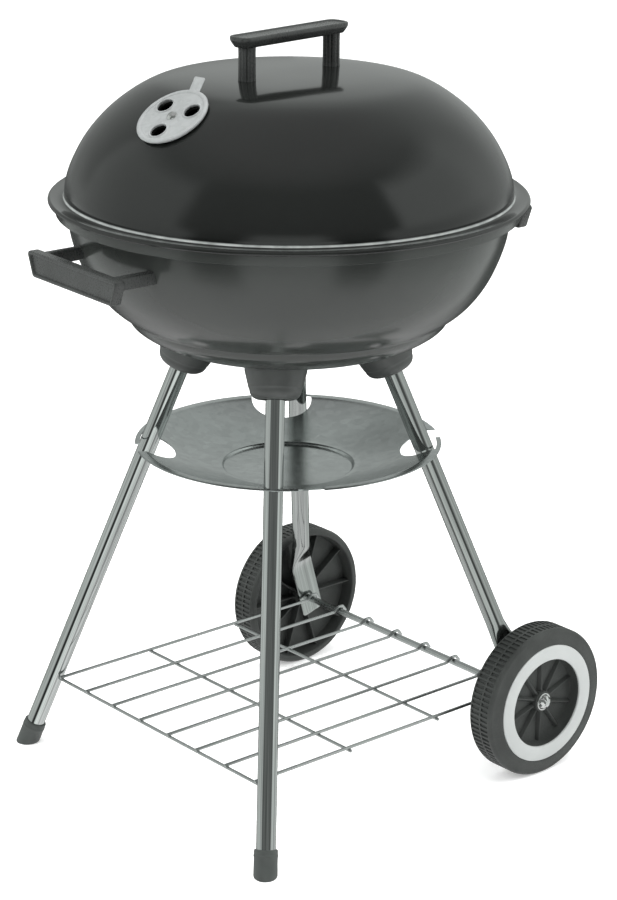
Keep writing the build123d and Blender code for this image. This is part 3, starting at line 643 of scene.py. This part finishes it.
bowl_prof = ([(0, 439.0), (30, 439.0), (64, 439.0)] + out_floor + crease + out_wall + arc3(wall_pts[-1], (210.8, 576.2), (213.6, 577.7), 6)[1:]
             + [(218.0, 577.7)] + arc3((218.0, 577.7), (219.06, 577.26), (219.5, 576.2), 4)[1:] + [(219.5, 567.4)]
             + arc3((219.5, 567.4), (220.25, 567.0), (221.0, 567.4), 4)[1:] + arc3((221.0, 575.7), (219.97, 578.17), (217.5, 579.2), 6)
             + arc3((212.6, 579.2), (209.4, 576.9), wall_in[-1], 6)[:-1] + in_wall + in_floor + [(64, 440.5), (30, 440.5), (0, 440.5)])
bowl_shell = make("bowl_shell", lathe(bowl_prof, 256), M_BOWL, "base", "bowl", sharp=40)
cut(bowl_shell, [lathe([(0, 430), (7.8, 430), (7.8, 446), (0, 446)], 40,
                       m=Matrix.Translation((20 * math.cos(math.radians(a)), 20 * math.sin(math.radians(a)), 0))) for a in (90, 210, 330)], 40)
wall_curve = np.array(out_wall)


def bowl_radius(z):
    return float(np.interp(z, wall_curve[:, 1], wall_curve[:, 0]))


# ================================================================ bowl handles
def bowl_handle(name, deg, node):
    s = Shape()
    face = [(-64.5, 525.0), (64.5, 525.0), (73.5, 548.8), (-73.5, 548.8)]
    rings = []
    for y, inset, r in ((236.4, 1.6, 2.2), (236.55, 0.8, 2.8), (237.2, 0.15, 3.2), (238.0, 0.0, 3.2), (245.8, 0.0, 3.2), (246.7, 0.2, 3.1), (247.2, 0.7, 2.8), (247.4, 1.4, 2.4),
                        (247.35, 2.4, 2.0), (247.0, 2.95, 1.8), (246.4, 3.25, 1.6), (245.5, 3.45, 1.5), (245.2, 3.7, 1.4), (245.15, 5.5, 1.0)):
        rings.append([(x, y, z) for x, z in polygon(face, inset, r, 6)])
    stack(rings, into=s, m=turn_z(deg))
    for side in (-1, 1):
        x0 = side * 56.5
        sec = polygon([(-4.5, 536.2), (4.5, 536.2), (4.5, 548.2), (-4.5, 548.2)], 0, 1.4, 4)
        near = [(x0 + x, math.sqrt(bowl_radius(z) ** 2 - (x0 + x) ** 2) - 0.25, z) for x, z in sec]
        rows = [near]
        for y in (205.0, 215.0, 230.0, 239.5):
            rows.append([(x0 + x, y, z) for x, z in sec])
        stack(rows, into=s, m=turn_z(deg))
    return make(name, s, M_HANDLE, "base", node, sharp=38)


bowl_handle("rear_grip", -2.5, "rear_bowl_handle")
bowl_handle("front_grip", 177.5, "front_bowl_handle")
bs = Shape()
y_out = math.sqrt(206.2 ** 2 - 56.5 ** 2)
for s_ in (-1, 1):
    for t in (0, 180):
        m = turn_z(-2.5 + t) @ Matrix.Translation((s_ * 56.5, y_out - 5.0, 542.2)) @ Matrix.Rotation(math.radians(-90), 4, "X")
        lathe([(0, -3.2), (2.8, -3.2), (3.5, -3.0), (4.5, -1.7), (4.6, 0.6), (2.0, 0.6), (2.0, 3.6), (0, 3.6)], 32, m=m, into=bs)
make("grip_screws", bs, M_BRIGHT, "base", "bowl_handle_screws", sharp=40)

# ================================================================ sockets and legs
FOOT_TOP, FOOT_END = Vector((71.9, -76.45, 408.9)), Vector((191.4, -186.6, 0.0))
WHEEL_TOP, WHEEL_END = Vector((71.9, 70.2, 408.9)), Vector((193.85, 188.1, 0.0))
FOOT_DIR, WHEEL_DIR = (FOOT_END - FOOT_TOP).normalized(), (WHEEL_END - WHEEL_TOP).normalized()


def along(start, d, z):
    return start + d * ((z - start.z) / d.z)


plug = lathe([(0, 438.8), (60, 438.8)] + [(r, z - 0.15) for r, z in out_floor] + [(r + 0.1, z - 0.1) for r, z in crease + out_wall[:20]] + [(0, out_wall[19][1])], 192)
cup_prof = ([(9.35, 2.0), (11.4, 2.0), (12.0, 1.2), (12.6, 0.3), (13.4, 0.0), (15.5, 0.0)] + arc3((15.5, 0.0), (21.6, 2.6), (24.4, 8.6), 10)[1:]
            + [(25.0, 10.6), (25.35, 11.0), (25.5, 11.6), (29.4, 27.0), (29.75, 40.0), (29.8, 60.0), (9.35, 60.0)])
for name, start, d, mir, node in (("socket_fl", FOOT_TOP, FOOT_DIR, True, "leg_socket_front_left"), ("socket_fr", FOOT_TOP, FOOT_DIR, False, "leg_socket_front_right"),
                                  ("socket_rl", WHEEL_TOP, WHEEL_DIR, True, "leg_socket_rear_left"), ("socket_rr", WHEEL_TOP, WHEEL_DIR, False, "leg_socket_rear_right")):
    m = basis(start, -d)
    if mir:
        m = MIRROR @ m
    ob = make(name, lathe(cup_prof, 96, m=m), M_SOCKET, "base", node, sharp=40)
    cut(ob, [plug], 40)

bolts = Shape()
for start, d in ((FOOT_TOP, FOOT_DIR), (WHEEL_TOP, WHEEL_DIR)):
    for mir in (False, True):
        m = basis(start, -d)
        if mir:
            m = MIRROR @ m
        top = (440.5 - start.z) / -d.z + 3.4
        lathe([(0, top - 3.4), (2.5, top - 3.4), (2.5, top), (7.3, top), (7.5, top + 0.3), (7.5, top + 1.2)] + arc3((7.5, top + 1.2), (4.6, top + 3.5), (0, top + 4.2), 8), 36, m=m, into=bolts)
make("socket_bolts", bolts, M_BRIGHT, "base", "leg_socket_bolts", sharp=40)

R, WALL = 9.25, 1.2


def tube_shape(a, b, mirror=False, rounded=0.5):
    length = (b - a).length
    m = basis(a, b - a)
    if mirror:
        m = MIRROR @ m
    zs = [length * k / 24 for k in range(1, 24)]
    return lathe([(R - WALL, 0), (R - rounded, 0), (R, rounded)] + [(R, z) for z in zs] + [(R, length - rounded), (R - rounded, length), (R - WALL, length)], 64, m=m)


for name, mir, node in (("foot_leg_left", True, "front_leg_left"), ("foot_leg_right", False, "front_leg_right")):
    make(name, tube_shape(along(FOOT_TOP, FOOT_DIR, 430.0), along(FOOT_TOP, FOOT_DIR, 5.0), mir), M_TUBE, "base", node, sharp=35)


def wheel_leg(mirror):
    n = 72
    rings = []

    def ring(c, xd, zd, a, b, p, lift=0.0):
        zd = zd.normalized()
        xd = (xd - zd * xd.dot(zd)).normalized()
        yd = zd.cross(xd)
        out = []
        for j in range(n):
            t = 2 * math.pi * (j + 0.5) / n
            co, si = math.cos(t), math.sin(t)
            k = (abs(co) ** p + abs(si) ** p) ** (-1.0 / p)
            out.append(tuple(c + xd * (a * k * co) + yd * (b * k * si)))
        return out

    top = along(WHEEL_TOP, WHEEL_DIR, 430.0)
    p_round = along(WHEEL_TOP, WHEEL_DIR, 152.0)
    ky = WHEEL_DIR.y / -WHEEL_DIR.z
    lean = Vector((0, ky, -1)).normalized()

    def plate_point(z):
        return Vector((161.5, 167.6 + (76.4 - z) * ky, z))

    x_round = Vector((1, 0, -WHEEL_DIR.x / WHEEL_DIR.z))
    for k in range(13):
        rings.append(ring(top.lerp(p_round, k / 12), x_round, WHEEL_DIR, R, R, 2.0))
    p_flat = plate_point(117.0)
    for k in range(1, 12):
        t = k / 11
        e = t * t * (3 - 2 * t)
        c = p_round.lerp(p_flat, t)
        d = (WHEEL_DIR * (1 - t) + lean * t)
        a = R + (1.3 - R) * e
        b = R + (13.8 - R) * (1 - (1 - t) ** 1.6)
        rings.append(ring(c, x_round.lerp(Vector((1, 0, 0)), t), d, a, b, 2.0 + 10.0 * t ** 3))
    for z in (110.0, 100.0, 90.0, 75.0, 66.0, 63.0):
        rings.append(ring(plate_point(z), Vector((1, 0, 0)), lean, 1.3, 13.8, 12.0))
    rings.append(ring(plate_point(61.0), Vector((1, 0, 0)), lean, 1.3, 12.6, 8.0))
    rings.append(ring(plate_point(60.2), Vector((1, 0, 0)), lean, 1.1, 11.0, 6.0))
    return stack(rings, m=MIRROR if mirror else None)


for name, mir, node in (("wheel_leg_left", True, "rear_leg_left"), ("wheel_leg_right", False, "rear_leg_right")):
    make(name, wheel_leg(mir), M_TUBE_REAR_SHADED, "base", node, sharp=35)


# ================================================================ foot caps
def foot_cap(mirror):
    m = basis(FOOT_END + FOOT_DIR * 6.0, -FOOT_DIR)
    inv = m.inverted()
    n, s = 64, Shape()
    prof = [(R + 0.06, 31.0), (10.4, 31.0), (10.9, 30.8), (11.2, 30.2)] + [(11.2, z) for z in (27.0, 26.4)] + [(11.5, 26.0), (11.5, 24.6), (11.2, 24.2), (11.2, 14.0)]
    rings = [[(r * math.cos(2 * math.pi * j / n), r * math.sin(2 * math.pi * j / n), z) for j in range(n)] for r, z in prof]

    def on_floor(r, h):
        ring = []
        for j in range(n):
            x, y = r * math.cos(2 * math.pi * j / n), r * math.sin(2 * math.pi * j / n)
            # height along the axis where the wall meets z = h
            p0, ax = m @ Vector((x, y, 0)), (m.to_3x3() @ Vector((0, 0, 1)))
            ring.append((x, y, (h - p0.z) / ax.z))
        return ring

    rings += [on_floor(11.2, 1.2), on_floor(10.9, 0.35), on_floor(10.4, 0.0), on_floor(7.0, 0.0)]
    stack(rings, into=s, m=(MIRROR @ m) if mirror else m)
    return s


for name, mir, node in (("foot_left", True, "foot_cap_left"), ("foot_right", False, "foot_cap_right")):
    make(name, foot_cap(mir), M_FOOT, "base", node, sharp=40)

# ================================================================ ash pan
pan_prof = ([(0, 307.4), (62.4, 307.4)] + arc3((62.4, 307.4), (63.6, 307.9), (64.3, 309.3), 4)[1:] + arc3((64.3, 309.3), (65.0, 310.3), (66.4, 310.6), 4)[1:]
            + arc3((67.2, 310.6), (106.0, 320.0), (140.6, 333.6), 20) + arc3((140.6, 333.6), (141.5, 334.2), (142.8, 334.4), 4)[1:]
            + [(148.2, 334.4)] + arc3((148.7, 334.3), (149.5, 334.95), (148.8, 335.6), 6)
            + [(147.0, 335.6), (142.8, 335.6)] + arc3((142.8, 335.6), (141.3, 335.4), (140.0, 334.7), 4)[1:]
            + arc3((140.0, 334.7), (105.6, 321.2), (67.2, 311.8), 20)[1:] + arc3((66.2, 311.8), (64.6, 311.4), (63.6, 310.0), 4)
            + arc3((63.6, 310.0), (62.9, 308.9), (61.8, 308.6), 4)[1:] + [(0, 308.6)])
pan = make("pan_dish", lathe(pan_prof, 240), M_PAN, "ash_pan", "ash_pan", sharp=40)
cutters = []
for start, d, flip in ((FOOT_TOP, FOOT_DIR, 0), (FOOT_TOP, FOOT_DIR, 1), (WHEEL_TOP, WHEEL_DIR, 0), (WHEEL_TOP, WHEEL_DIR, 1)):
    p = along(start, d, 335.6)
    a = math.degrees(math.atan2(p.y, p.x))
    a = 180 - a if flip else a
    m = turn_z(a + 7.0)
    edge = math.sqrt(144.8 ** 2 - 30.5 ** 2)
    poly = [(edge, -30.5)]
    poly = [(144.8 * math.cos(t), 144.8 * math.sin(t)) for t in np.linspace(-math.asin(30.5 / 144.8), math.asin(30.5 / 144.8), 25)]
    poly += [(136.0 + 26 * math.cos(t), 4.5 + 26 * math.sin(t)) for t in np.linspace(math.pi / 2, math.pi, 12)]
    poly += [(136.0 + 26 * math.cos(t), -4.5 + 26 * math.sin(t)) for t in np.linspace(math.pi, 1.5 * math.pi, 12)]
    cutters.append(prism(tidy(poly), 300.0, 345.0, m=m))
    t0 = math.radians(2.5)
    cutters.append(prism([(143.6 * math.cos(t0), 143.6 * math.sin(t0)), (170 * math.cos(t0), 170 * math.sin(t0)), (170, 30.5), (139.5, 30.5)], 300.0, 345.0, m=m))
cut(pan, cutters, 40)

# ================================================================ wheels
W_OUT, W_IN, AX_Y, AX_Z, AX_R = 201.5, 168.0, 167.6, 76.4, 3.5
TO_AXLE = Matrix.Translation((W_IN, AX_Y, AX_Z)) @ Matrix.Rotation(math.radians(90), 4, "Y")
BLOCKS = 90
tread_th = []
for k in range(BLOCKS):
    for f in (0.0, 0.10, 0.5, 0.60):
        tread_th.append(2 * math.pi * (k + f) / BLOCKS)


def in_row(z):
    return 4.2 <= z <= 14.9 or 17.1 <= z <= 26.4


def tread(r, z, t):
    if r < 70.0 or not in_row(z):
        return r
    k = (t / (2 * math.pi) * BLOCKS) % 1
    low = 0.55 <= k + 1e-6 or k < 0.05
    return r - (1.35 if low else 0.0)


tyre = ([(66.2, 14.0), (67.2, 8.0), (68.3, 1.6)] + arc3((68.5, 1.0), (69.6, 0.2), (71.0, 0.3), 4)
        + arc3((71.0, 0.3), (74.8, 1.2), (76.4, 4.0), 8)[1:]
        + [(76.4, 4.15), (76.4, 4.25), (76.4, 6.0), (76.4, 9.0), (76.4, 12.0), (76.4, 14.85), (76.4, 14.95), (76.4, 16.0), (76.4, 17.05), (76.4, 17.15),
           (76.4, 20.0), (76.4, 23.0), (76.4, 26.35), (76.4, 26.45), (76.4, 27.2)]
        + arc3((76.4, 28.0), (75.2, 30.2), (72.4, 31.1), 8)
        + [(70.0, 31.7), (67.0, 32.35), (64.0, 32.95), (61.6, 33.35)]
        + [(60.9, 33.3), (60.5, 32.8), (60.5, 31.9), (45.5, 31.9), (45.2, 31.6), (44.8, 28.6), (43.9, 22.6), (43.1, 21.4), (41.6, 21.0),
           (12.4, 21.0), (11.0, 21.4), (10.5, 22.4), (10.5, 27.2), (10.3, 27.7), (9.8, 27.9), (3.57, 27.9), (3.57, -3.2), (9.9, -3.2), (10.4, -2.8), (10.5, -2.2), (10.5, 13.0), (11.5, 14.0)])


def wheel_shape(side):
    m = TO_AXLE if side > 0 else MIRROR @ TO_AXLE
    s = Shape()
    lathe(tyre, 0, m=m, rad=tread, thetas=tread_th, into=s)
    for k in range(10):
        # webs of the outer dish: thicker at the foot, falling slightly to the rim
        a = math.radians(36 * k)
        rows = []
        for r, top, hw in ((9.8, 25.6, 1.0), (16.0, 25.3, 0.95), (26.0, 24.9, 0.9), (36.0, 24.4, 0.9), (44.2, 24.0, 1.0)):
            rows.append([(r, -hw - 1.9, 20.7), (r, hw + 1.9, 20.7), (r, hw, top - 0.5), (r, hw - 0.4, top), (r, -hw + 0.4, top), (r, -hw, top - 0.5)])
        stack(rows, into=s, m=m @ Matrix.Rotation(a, 4, "Z"))
        a = math.radians(36 * k + 18)
        rows = []
        for r, low, hw in ((9.8, 5.0, 0.9), (20.0, 5.2, 0.8), (40.0, 5.4, 0.8), (67.0, 5.2, 0.8)):
            rows.append([(r, -hw, low + 0.4), (r, -hw + 0.4, low), (r, hw - 0.4, low), (r, hw, low + 0.4), (r, hw + 0.3, 14.6), (r, -hw - 0.3, 14.6)])
        stack(rows, into=s, m=m @ Matrix.Rotation(a, 4, "Z"))
    return s


def trim_shape(side):
    m = TO_AXLE if side > 0 else MIRROR @ TO_AXLE
    return lathe([(45.56, 31.95), (60.4, 31.95), (60.4, 33.1), (60.2, 33.6), (59.6, 33.85), (53.0, 33.9), (46.3, 33.85), (45.75, 33.6), (45.56, 33.1)], 160, m=m)


def nut_shape(side):
    m = TO_AXLE if side > 0 else MIRROR @ TO_AXLE
    s = Shape()
    base, n = 28.3, 96
    prof = ([(3.5, 0.05), (8.6, 0.05), (8.9, 0.3), (8.9, 0.7), (8.6, 0.95), (8.1, 1.0)] + arc3((7.9, 1.1), (5.4, 4.6), (0, 6.35), 12)
            + [(0, 4.2), (3.5, 4.2)])

    def flutes(r, z, t):
        # pressed tabs round the dome
        if 2.2 < r < 8.2 and z > base + 1.05:
            k = 0.5 + 0.5 * math.cos(5 * t + 0.6)
            return r * (1.0 - 0.15 * k ** 3 * min(1.0, (r - 2.2) / 2.0))
        return r

    lathe([(r, base + z) for r, z in prof], n, m=m, rad=flutes, into=s)
    return s


for side, tag in ((-1, "left"), (1, "right")):
    make("tyre_" + tag, wheel_shape(side), M_WHEEL, "wheel_" + tag, "wheel_" + tag, sharp=34)
    make("white_ring_" + tag, trim_shape(side), M_WHITE, "wheel_" + tag, "wheel_trim_" + tag, sharp=50)
    make("hub_nut_" + tag, nut_shape(side), M_BRIGHT, "base", "axle_push_nuts", sharp=38)
    m = TO_AXLE if side > 0 else MIRROR @ TO_AXLE
    make("axle_washer_" + tag, lathe([(3.52, -5.2), (8.3, -5.2), (8.5, -5.0), (8.5, -3.9), (8.3, -3.7), (3.52, -3.7)], 48, m=m), M_BRIGHT, "base", "axle_washers", sharp=40)

make("axle_rod", pipe([(-200.45, AX_Y, AX_Z), (-150, AX_Y, AX_Z), (-75, AX_Y, AX_Z), (0, AX_Y, AX_Z), (75, AX_Y, AX_Z), (150, AX_Y, AX_Z), (200.45, AX_Y, AX_Z)], AX_R - 0.01, 40),
     M_AXLE, "base", "axle", sharp=40)

# ================================================================ wire shelf
wire, half, cross_z, pitch = 1.6, 155.0, 74.6, 113.4
cross_y = along(FOOT_TOP, FOOT_DIR, cross_z).y
along_z = cross_z + 2 * wire - 0.25
shelf = Shape()
pipe([(-169, cross_y, cross_z), (-80, cross_y, cross_z), (0, cross_y, cross_z), (80, cross_y, cross_z), (169, cross_y, cross_z)], wire, 24, into=shelf)
for k in (1, 2):
    y = cross_y + pitch * k
    pipe([(-half - 3.2, y, cross_z), (-75, y, cross_z), (0, y, cross_z), (75, y, cross_z), (half + 3.2, y, cross_z)], wire, 24, into=shelf)
for k in range(8):
    x = -half + 2 * half * k / 7.0
    pts = [(x, cross_y - 3.0, along_z), (x, AX_Y - 9.4, along_z), (x, AX_Y - 2.8, along_z + 4.4), (x, AX_Y + 3.4, along_z + 4.4), (x, AX_Y + 8.1, along_z - 1.6)]
    path = bend(pts, 2.4)
    first, second = Vector(path[0]), Vector(path[1])
    path = [path[0]] + [tuple(first.lerp(second, t)) for t in (0.25, 0.5, 0.75)] + path[1:]
    pipe(path, wire, 24, into=shelf)
# weld spots where the wires cross
for row in (0, 1, 2):
    y = cross_y + pitch * row
    for k in range(8):
        x = -half + 2 * half * k / 7.0
        lathe([(0, -1.0), (1.25, -0.8), (1.75, 0.0), (1.25, 0.8), (0, 1.0)], 14, m=Matrix.Translation((x, y, cross_z + wire - 0.1)), into=shelf)
make("wire_rack", shelf, M_WIRE, "base", "storage_shelf", sharp=60)

# ================================================================ carried-over CAD nodes
for node, material in (("cooking_grate_ring", M_GRATE), ("cooking_grate_bars", M_GRATE), ("cooking_grate_brackets", M_GRATE),
                       ("charcoal_grate_ring", M_COAL), ("charcoal_grate_bars", M_COAL)):
    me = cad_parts[node].data
    me.materials.clear()
    me.materials.append(material)

# ================================================================ floor, light, world, camera
fm = Nodes("floor_paper")
v = fm.coords()
fm.link(fm.ramp(fm.noise(v, 2.5, 3.0), [(0.3, 0.86), (0.7, 0.88)]), fm.b.inputs["Base Color"])
fm.set(Roughness=0.9, Specular_IOR_Level=0.1, Emission_Color=(1, 1, 1, 1), Emission_Strength=0.35)
me = bpy.data.meshes.new("floor")
nseg = 128
me.from_pydata([(0, 0, -0.0002)] + [(30 * math.cos(2 * math.pi * k / nseg), 30 * math.sin(2 * math.pi * k / nseg), -0.0002) for k in range(nseg)], [],
               [(0, 1 + k, 1 + (k + 1) % nseg) for k in range(nseg)])
floor = bpy.data.objects.new("floor", me)
sc.collection.objects.link(floor)
me.materials.append(fm.m)
floor.visible_glossy = False

AZ, EL, ROLL = math.radians(49.725), math.radians(18.651), math.radians(0.287)
back = Vector((math.sin(AZ) * math.cos(EL), -math.cos(AZ) * math.cos(EL), math.sin(EL)))
fwd = -back
right = Vector((math.cos(AZ), math.sin(AZ), 0))
up = right.cross(fwd)
r2 = right * math.cos(ROLL) + up * math.sin(ROLL)
u2 = -right * math.sin(ROLL) + up * math.cos(ROLL)
cam = bpy.data.cameras.new("camera")
cam_ob = bpy.data.objects.new("camera", cam)
sc.collection.objects.link(cam_ob)
m = Matrix((r2, u2, back)).transposed().to_4x4()
m.translation = (Vector((58.396, -42.317, 350.0)) + back * 2486.183) * MM
cam_ob.matrix_world = m
cam.sensor_fit = "AUTO"
cam.sensor_width = 36.0
cam.lens = 2620.834 / 900 * 36.0
cam.shift_x = (308.5 - 293.674) / 900
cam.shift_y = -(450 - 449.037) / 900
cam.clip_end = 100
sc.camera = cam_ob

world = bpy.data.worlds.new("studio")
sc.world = world
world.use_nodes = True
wt = world.node_tree
wt.nodes.clear()


def wn(kind, **kw):
    n = wt.nodes.new(kind)
    for k, val in kw.items():
        setattr(n, k, val)
    return n


tc = wn("ShaderNodeTexCoord")


def dot(vec):
    n = wn("ShaderNodeVectorMath", operation="DOT_PRODUCT")
    wt.links.new(tc.outputs["Generated"], n.inputs[0])
    n.inputs[1].default_value = vec
    return n.outputs["Value"]


def tinted(c_, tint):
    # the studio walls have a faint green cast
    return (c_ * 0.955, c_, c_ * 0.975, 1) if tint else (c_, c_, c_, 1)


def wramp(fac, stops, ease="LINEAR", tint=True):
    r = wn("ShaderNodeValToRGB")
    r.color_ramp.interpolation = ease
    e = r.color_ramp.elements
    while len(e) > 1:
        e.remove(e[-1])
    e[0].position, e[0].color = stops[0][0], tinted(stops[0][1], tint)
    for p_, c_ in stops[1:]:
        q_ = e.new(p_)
        q_.color = tinted(c_, tint)
    wt.links.new(fac, r.inputs["Fac"])
    return r.outputs["Color"]


def wmath(op, a, b):
    n = wn("ShaderNodeMath", operation=op)
    for i, q_ in enumerate((a, b)):
        if isinstance(q_, (int, float)):
            n.inputs[i].default_value = q_
        else:
            wt.links.new(q_, n.inputs[i])
    return n.outputs[0]


hb = Vector((math.sin(AZ), -math.cos(AZ), 0))
psi = wmath("ARCTAN2", dot(tuple(right)), dot(tuple(hb)))                     # -pi .. pi, 0 in front, positive to the right
turn = wmath("ADD", wmath("DIVIDE", psi, 2 * math.pi), 0.5)                   # 0 .. 1


def at(deg):
    return 0.5 + deg / 360.0


deep_bands = wramp(turn, [(at(-180), 0.08), (at(-146), 0.08), (at(-138), 0.72), (at(-56), 0.72), (at(-48), 0.06), (at(-28), 0.06), (at(-22), 1.0), (at(22), 1.0),
                          (at(28), 0.06), (at(48), 0.06), (at(56), 0.78), (at(138), 0.85), (at(146), 0.08), (at(180), 0.08)])
low_bands = wramp(turn, [(at(-180), 0.34), (at(-150), 0.34), (at(-128), 0.60), (at(-54), 0.72), (at(-44), 0.14), (at(-24), 0.14), (at(-14), 0.80), (at(14), 0.80),
                         (at(24), 0.14), (at(44), 0.14), (at(54), 0.72), (at(120), 0.70), (at(150), 0.48), (at(180), 0.45)])
mid_bands = wramp(turn, [(at(-180), 0.60), (at(-165), 0.38), (at(-132), 0.38), (at(-122), 0.62), (at(-62), 0.72), (at(-50), 0.18), (at(54), 0.18), (at(62), 1.0), (at(112), 0.86),
                         (at(140), 0.58), (at(180), 0.58)], "EASE")
high_bands = wramp(turn, [(at(-180), 0.62), (at(-140), 0.46), (at(-110), 0.30), (at(-60), 0.28), (at(-46), 0.20), (at(62), 0.20), (at(90), 0.34), (at(140), 0.54),
                          (at(180), 0.62)], "EASE")
z = dot((0, 0, 1))
zz = wmath("MULTIPLY", wmath("ADD", z, 1.0), 0.5)                             # 0 straight down .. 1 straight up


def wmix(fac, a, b):
    n = wn("ShaderNodeMix", data_type="RGBA")
    for sock, q_ in ((n.inputs[0], fac), (n.inputs[6], a), (n.inputs[7], b)):
        if isinstance(q_, (int, float)):
            sock.default_value = q_ if sock is n.inputs[0] else (q_, q_, q_, 1)
        else:
            wt.links.new(q_, sock)
    return n.outputs[2]


deep = wmix(wramp(zz, [(0.40, 0.0), (0.46, 1.0)], tint=False), deep_bands, low_bands)
lower = wmix(wramp(zz, [(0.50, 0.0), (0.58, 1.0)], tint=False), deep, mid_bands)
upper = wmix(wramp(zz, [(0.80, 0.0), (0.88, 1.0)], tint=False), lower, high_bands)
top = wmix(wramp(zz, [(0.86, 0.0), (0.97, 1.0)], tint=False), upper, 0.45)
env = wmix(wramp(zz, [(0.10, 1.0), (0.28, 0.0)], tint=False), top, 0.95)
lp = wn("ShaderNodeLightPath")
seen = wmix(lp.outputs["Is Camera Ray"], env, 1.0)
bg = wn("ShaderNodeBackground")
bg.inputs["Strength"].default_value = 1.0
wt.links.new(seen, bg.inputs["Color"])
wo = wn("ShaderNodeOutputWorld")
wt.links.new(bg.outputs[0], wo.inputs[0])


def area(name, where, target, size, power):
    li = bpy.data.lights.new(name, "AREA")
    li.shape, li.size, li.size_y, li.energy = "RECTANGLE", size[0], size[1], power
    ob = bpy.data.objects.new(name, li)
    sc.collection.objects.link(ob)
    ob.location = where
    ob.rotation_mode = "QUATERNION"
    ob.rotation_quaternion = (Vector(target) - Vector(where)).to_track_quat("-Z", "Y")
    ob.visible_glossy = False
    return ob


sun = bpy.data.lights.new("soft_sky", "SUN")
sun.energy, sun.angle = 1.5, math.radians(120)
sun_ob = bpy.data.objects.new("soft_sky", sun)
sc.collection.objects.link(sun_ob)
sun_ob.visible_glossy = False

c0 = Vector((0, 0, 0.4))
area("key_left", tuple(-right * 2.2 + hb * 1.2 + Vector((0, 0, 2.4))), tuple(c0), (2.0, 2.0), 60)
area("fill_right", tuple(right * 2.4 + hb * 0.8 + Vector((0, 0, 2.0))), tuple(c0), (1.6, 1.6), 36)
area("overhead", (0, 0, 3.4), (0, 0, 0), (3.2, 3.2), 110)

sc.view_settings.view_transform = "Standard"
sc.view_settings.look = "None"
sc.view_settings.exposure = 0.0
sc.view_settings.gamma = 1.0
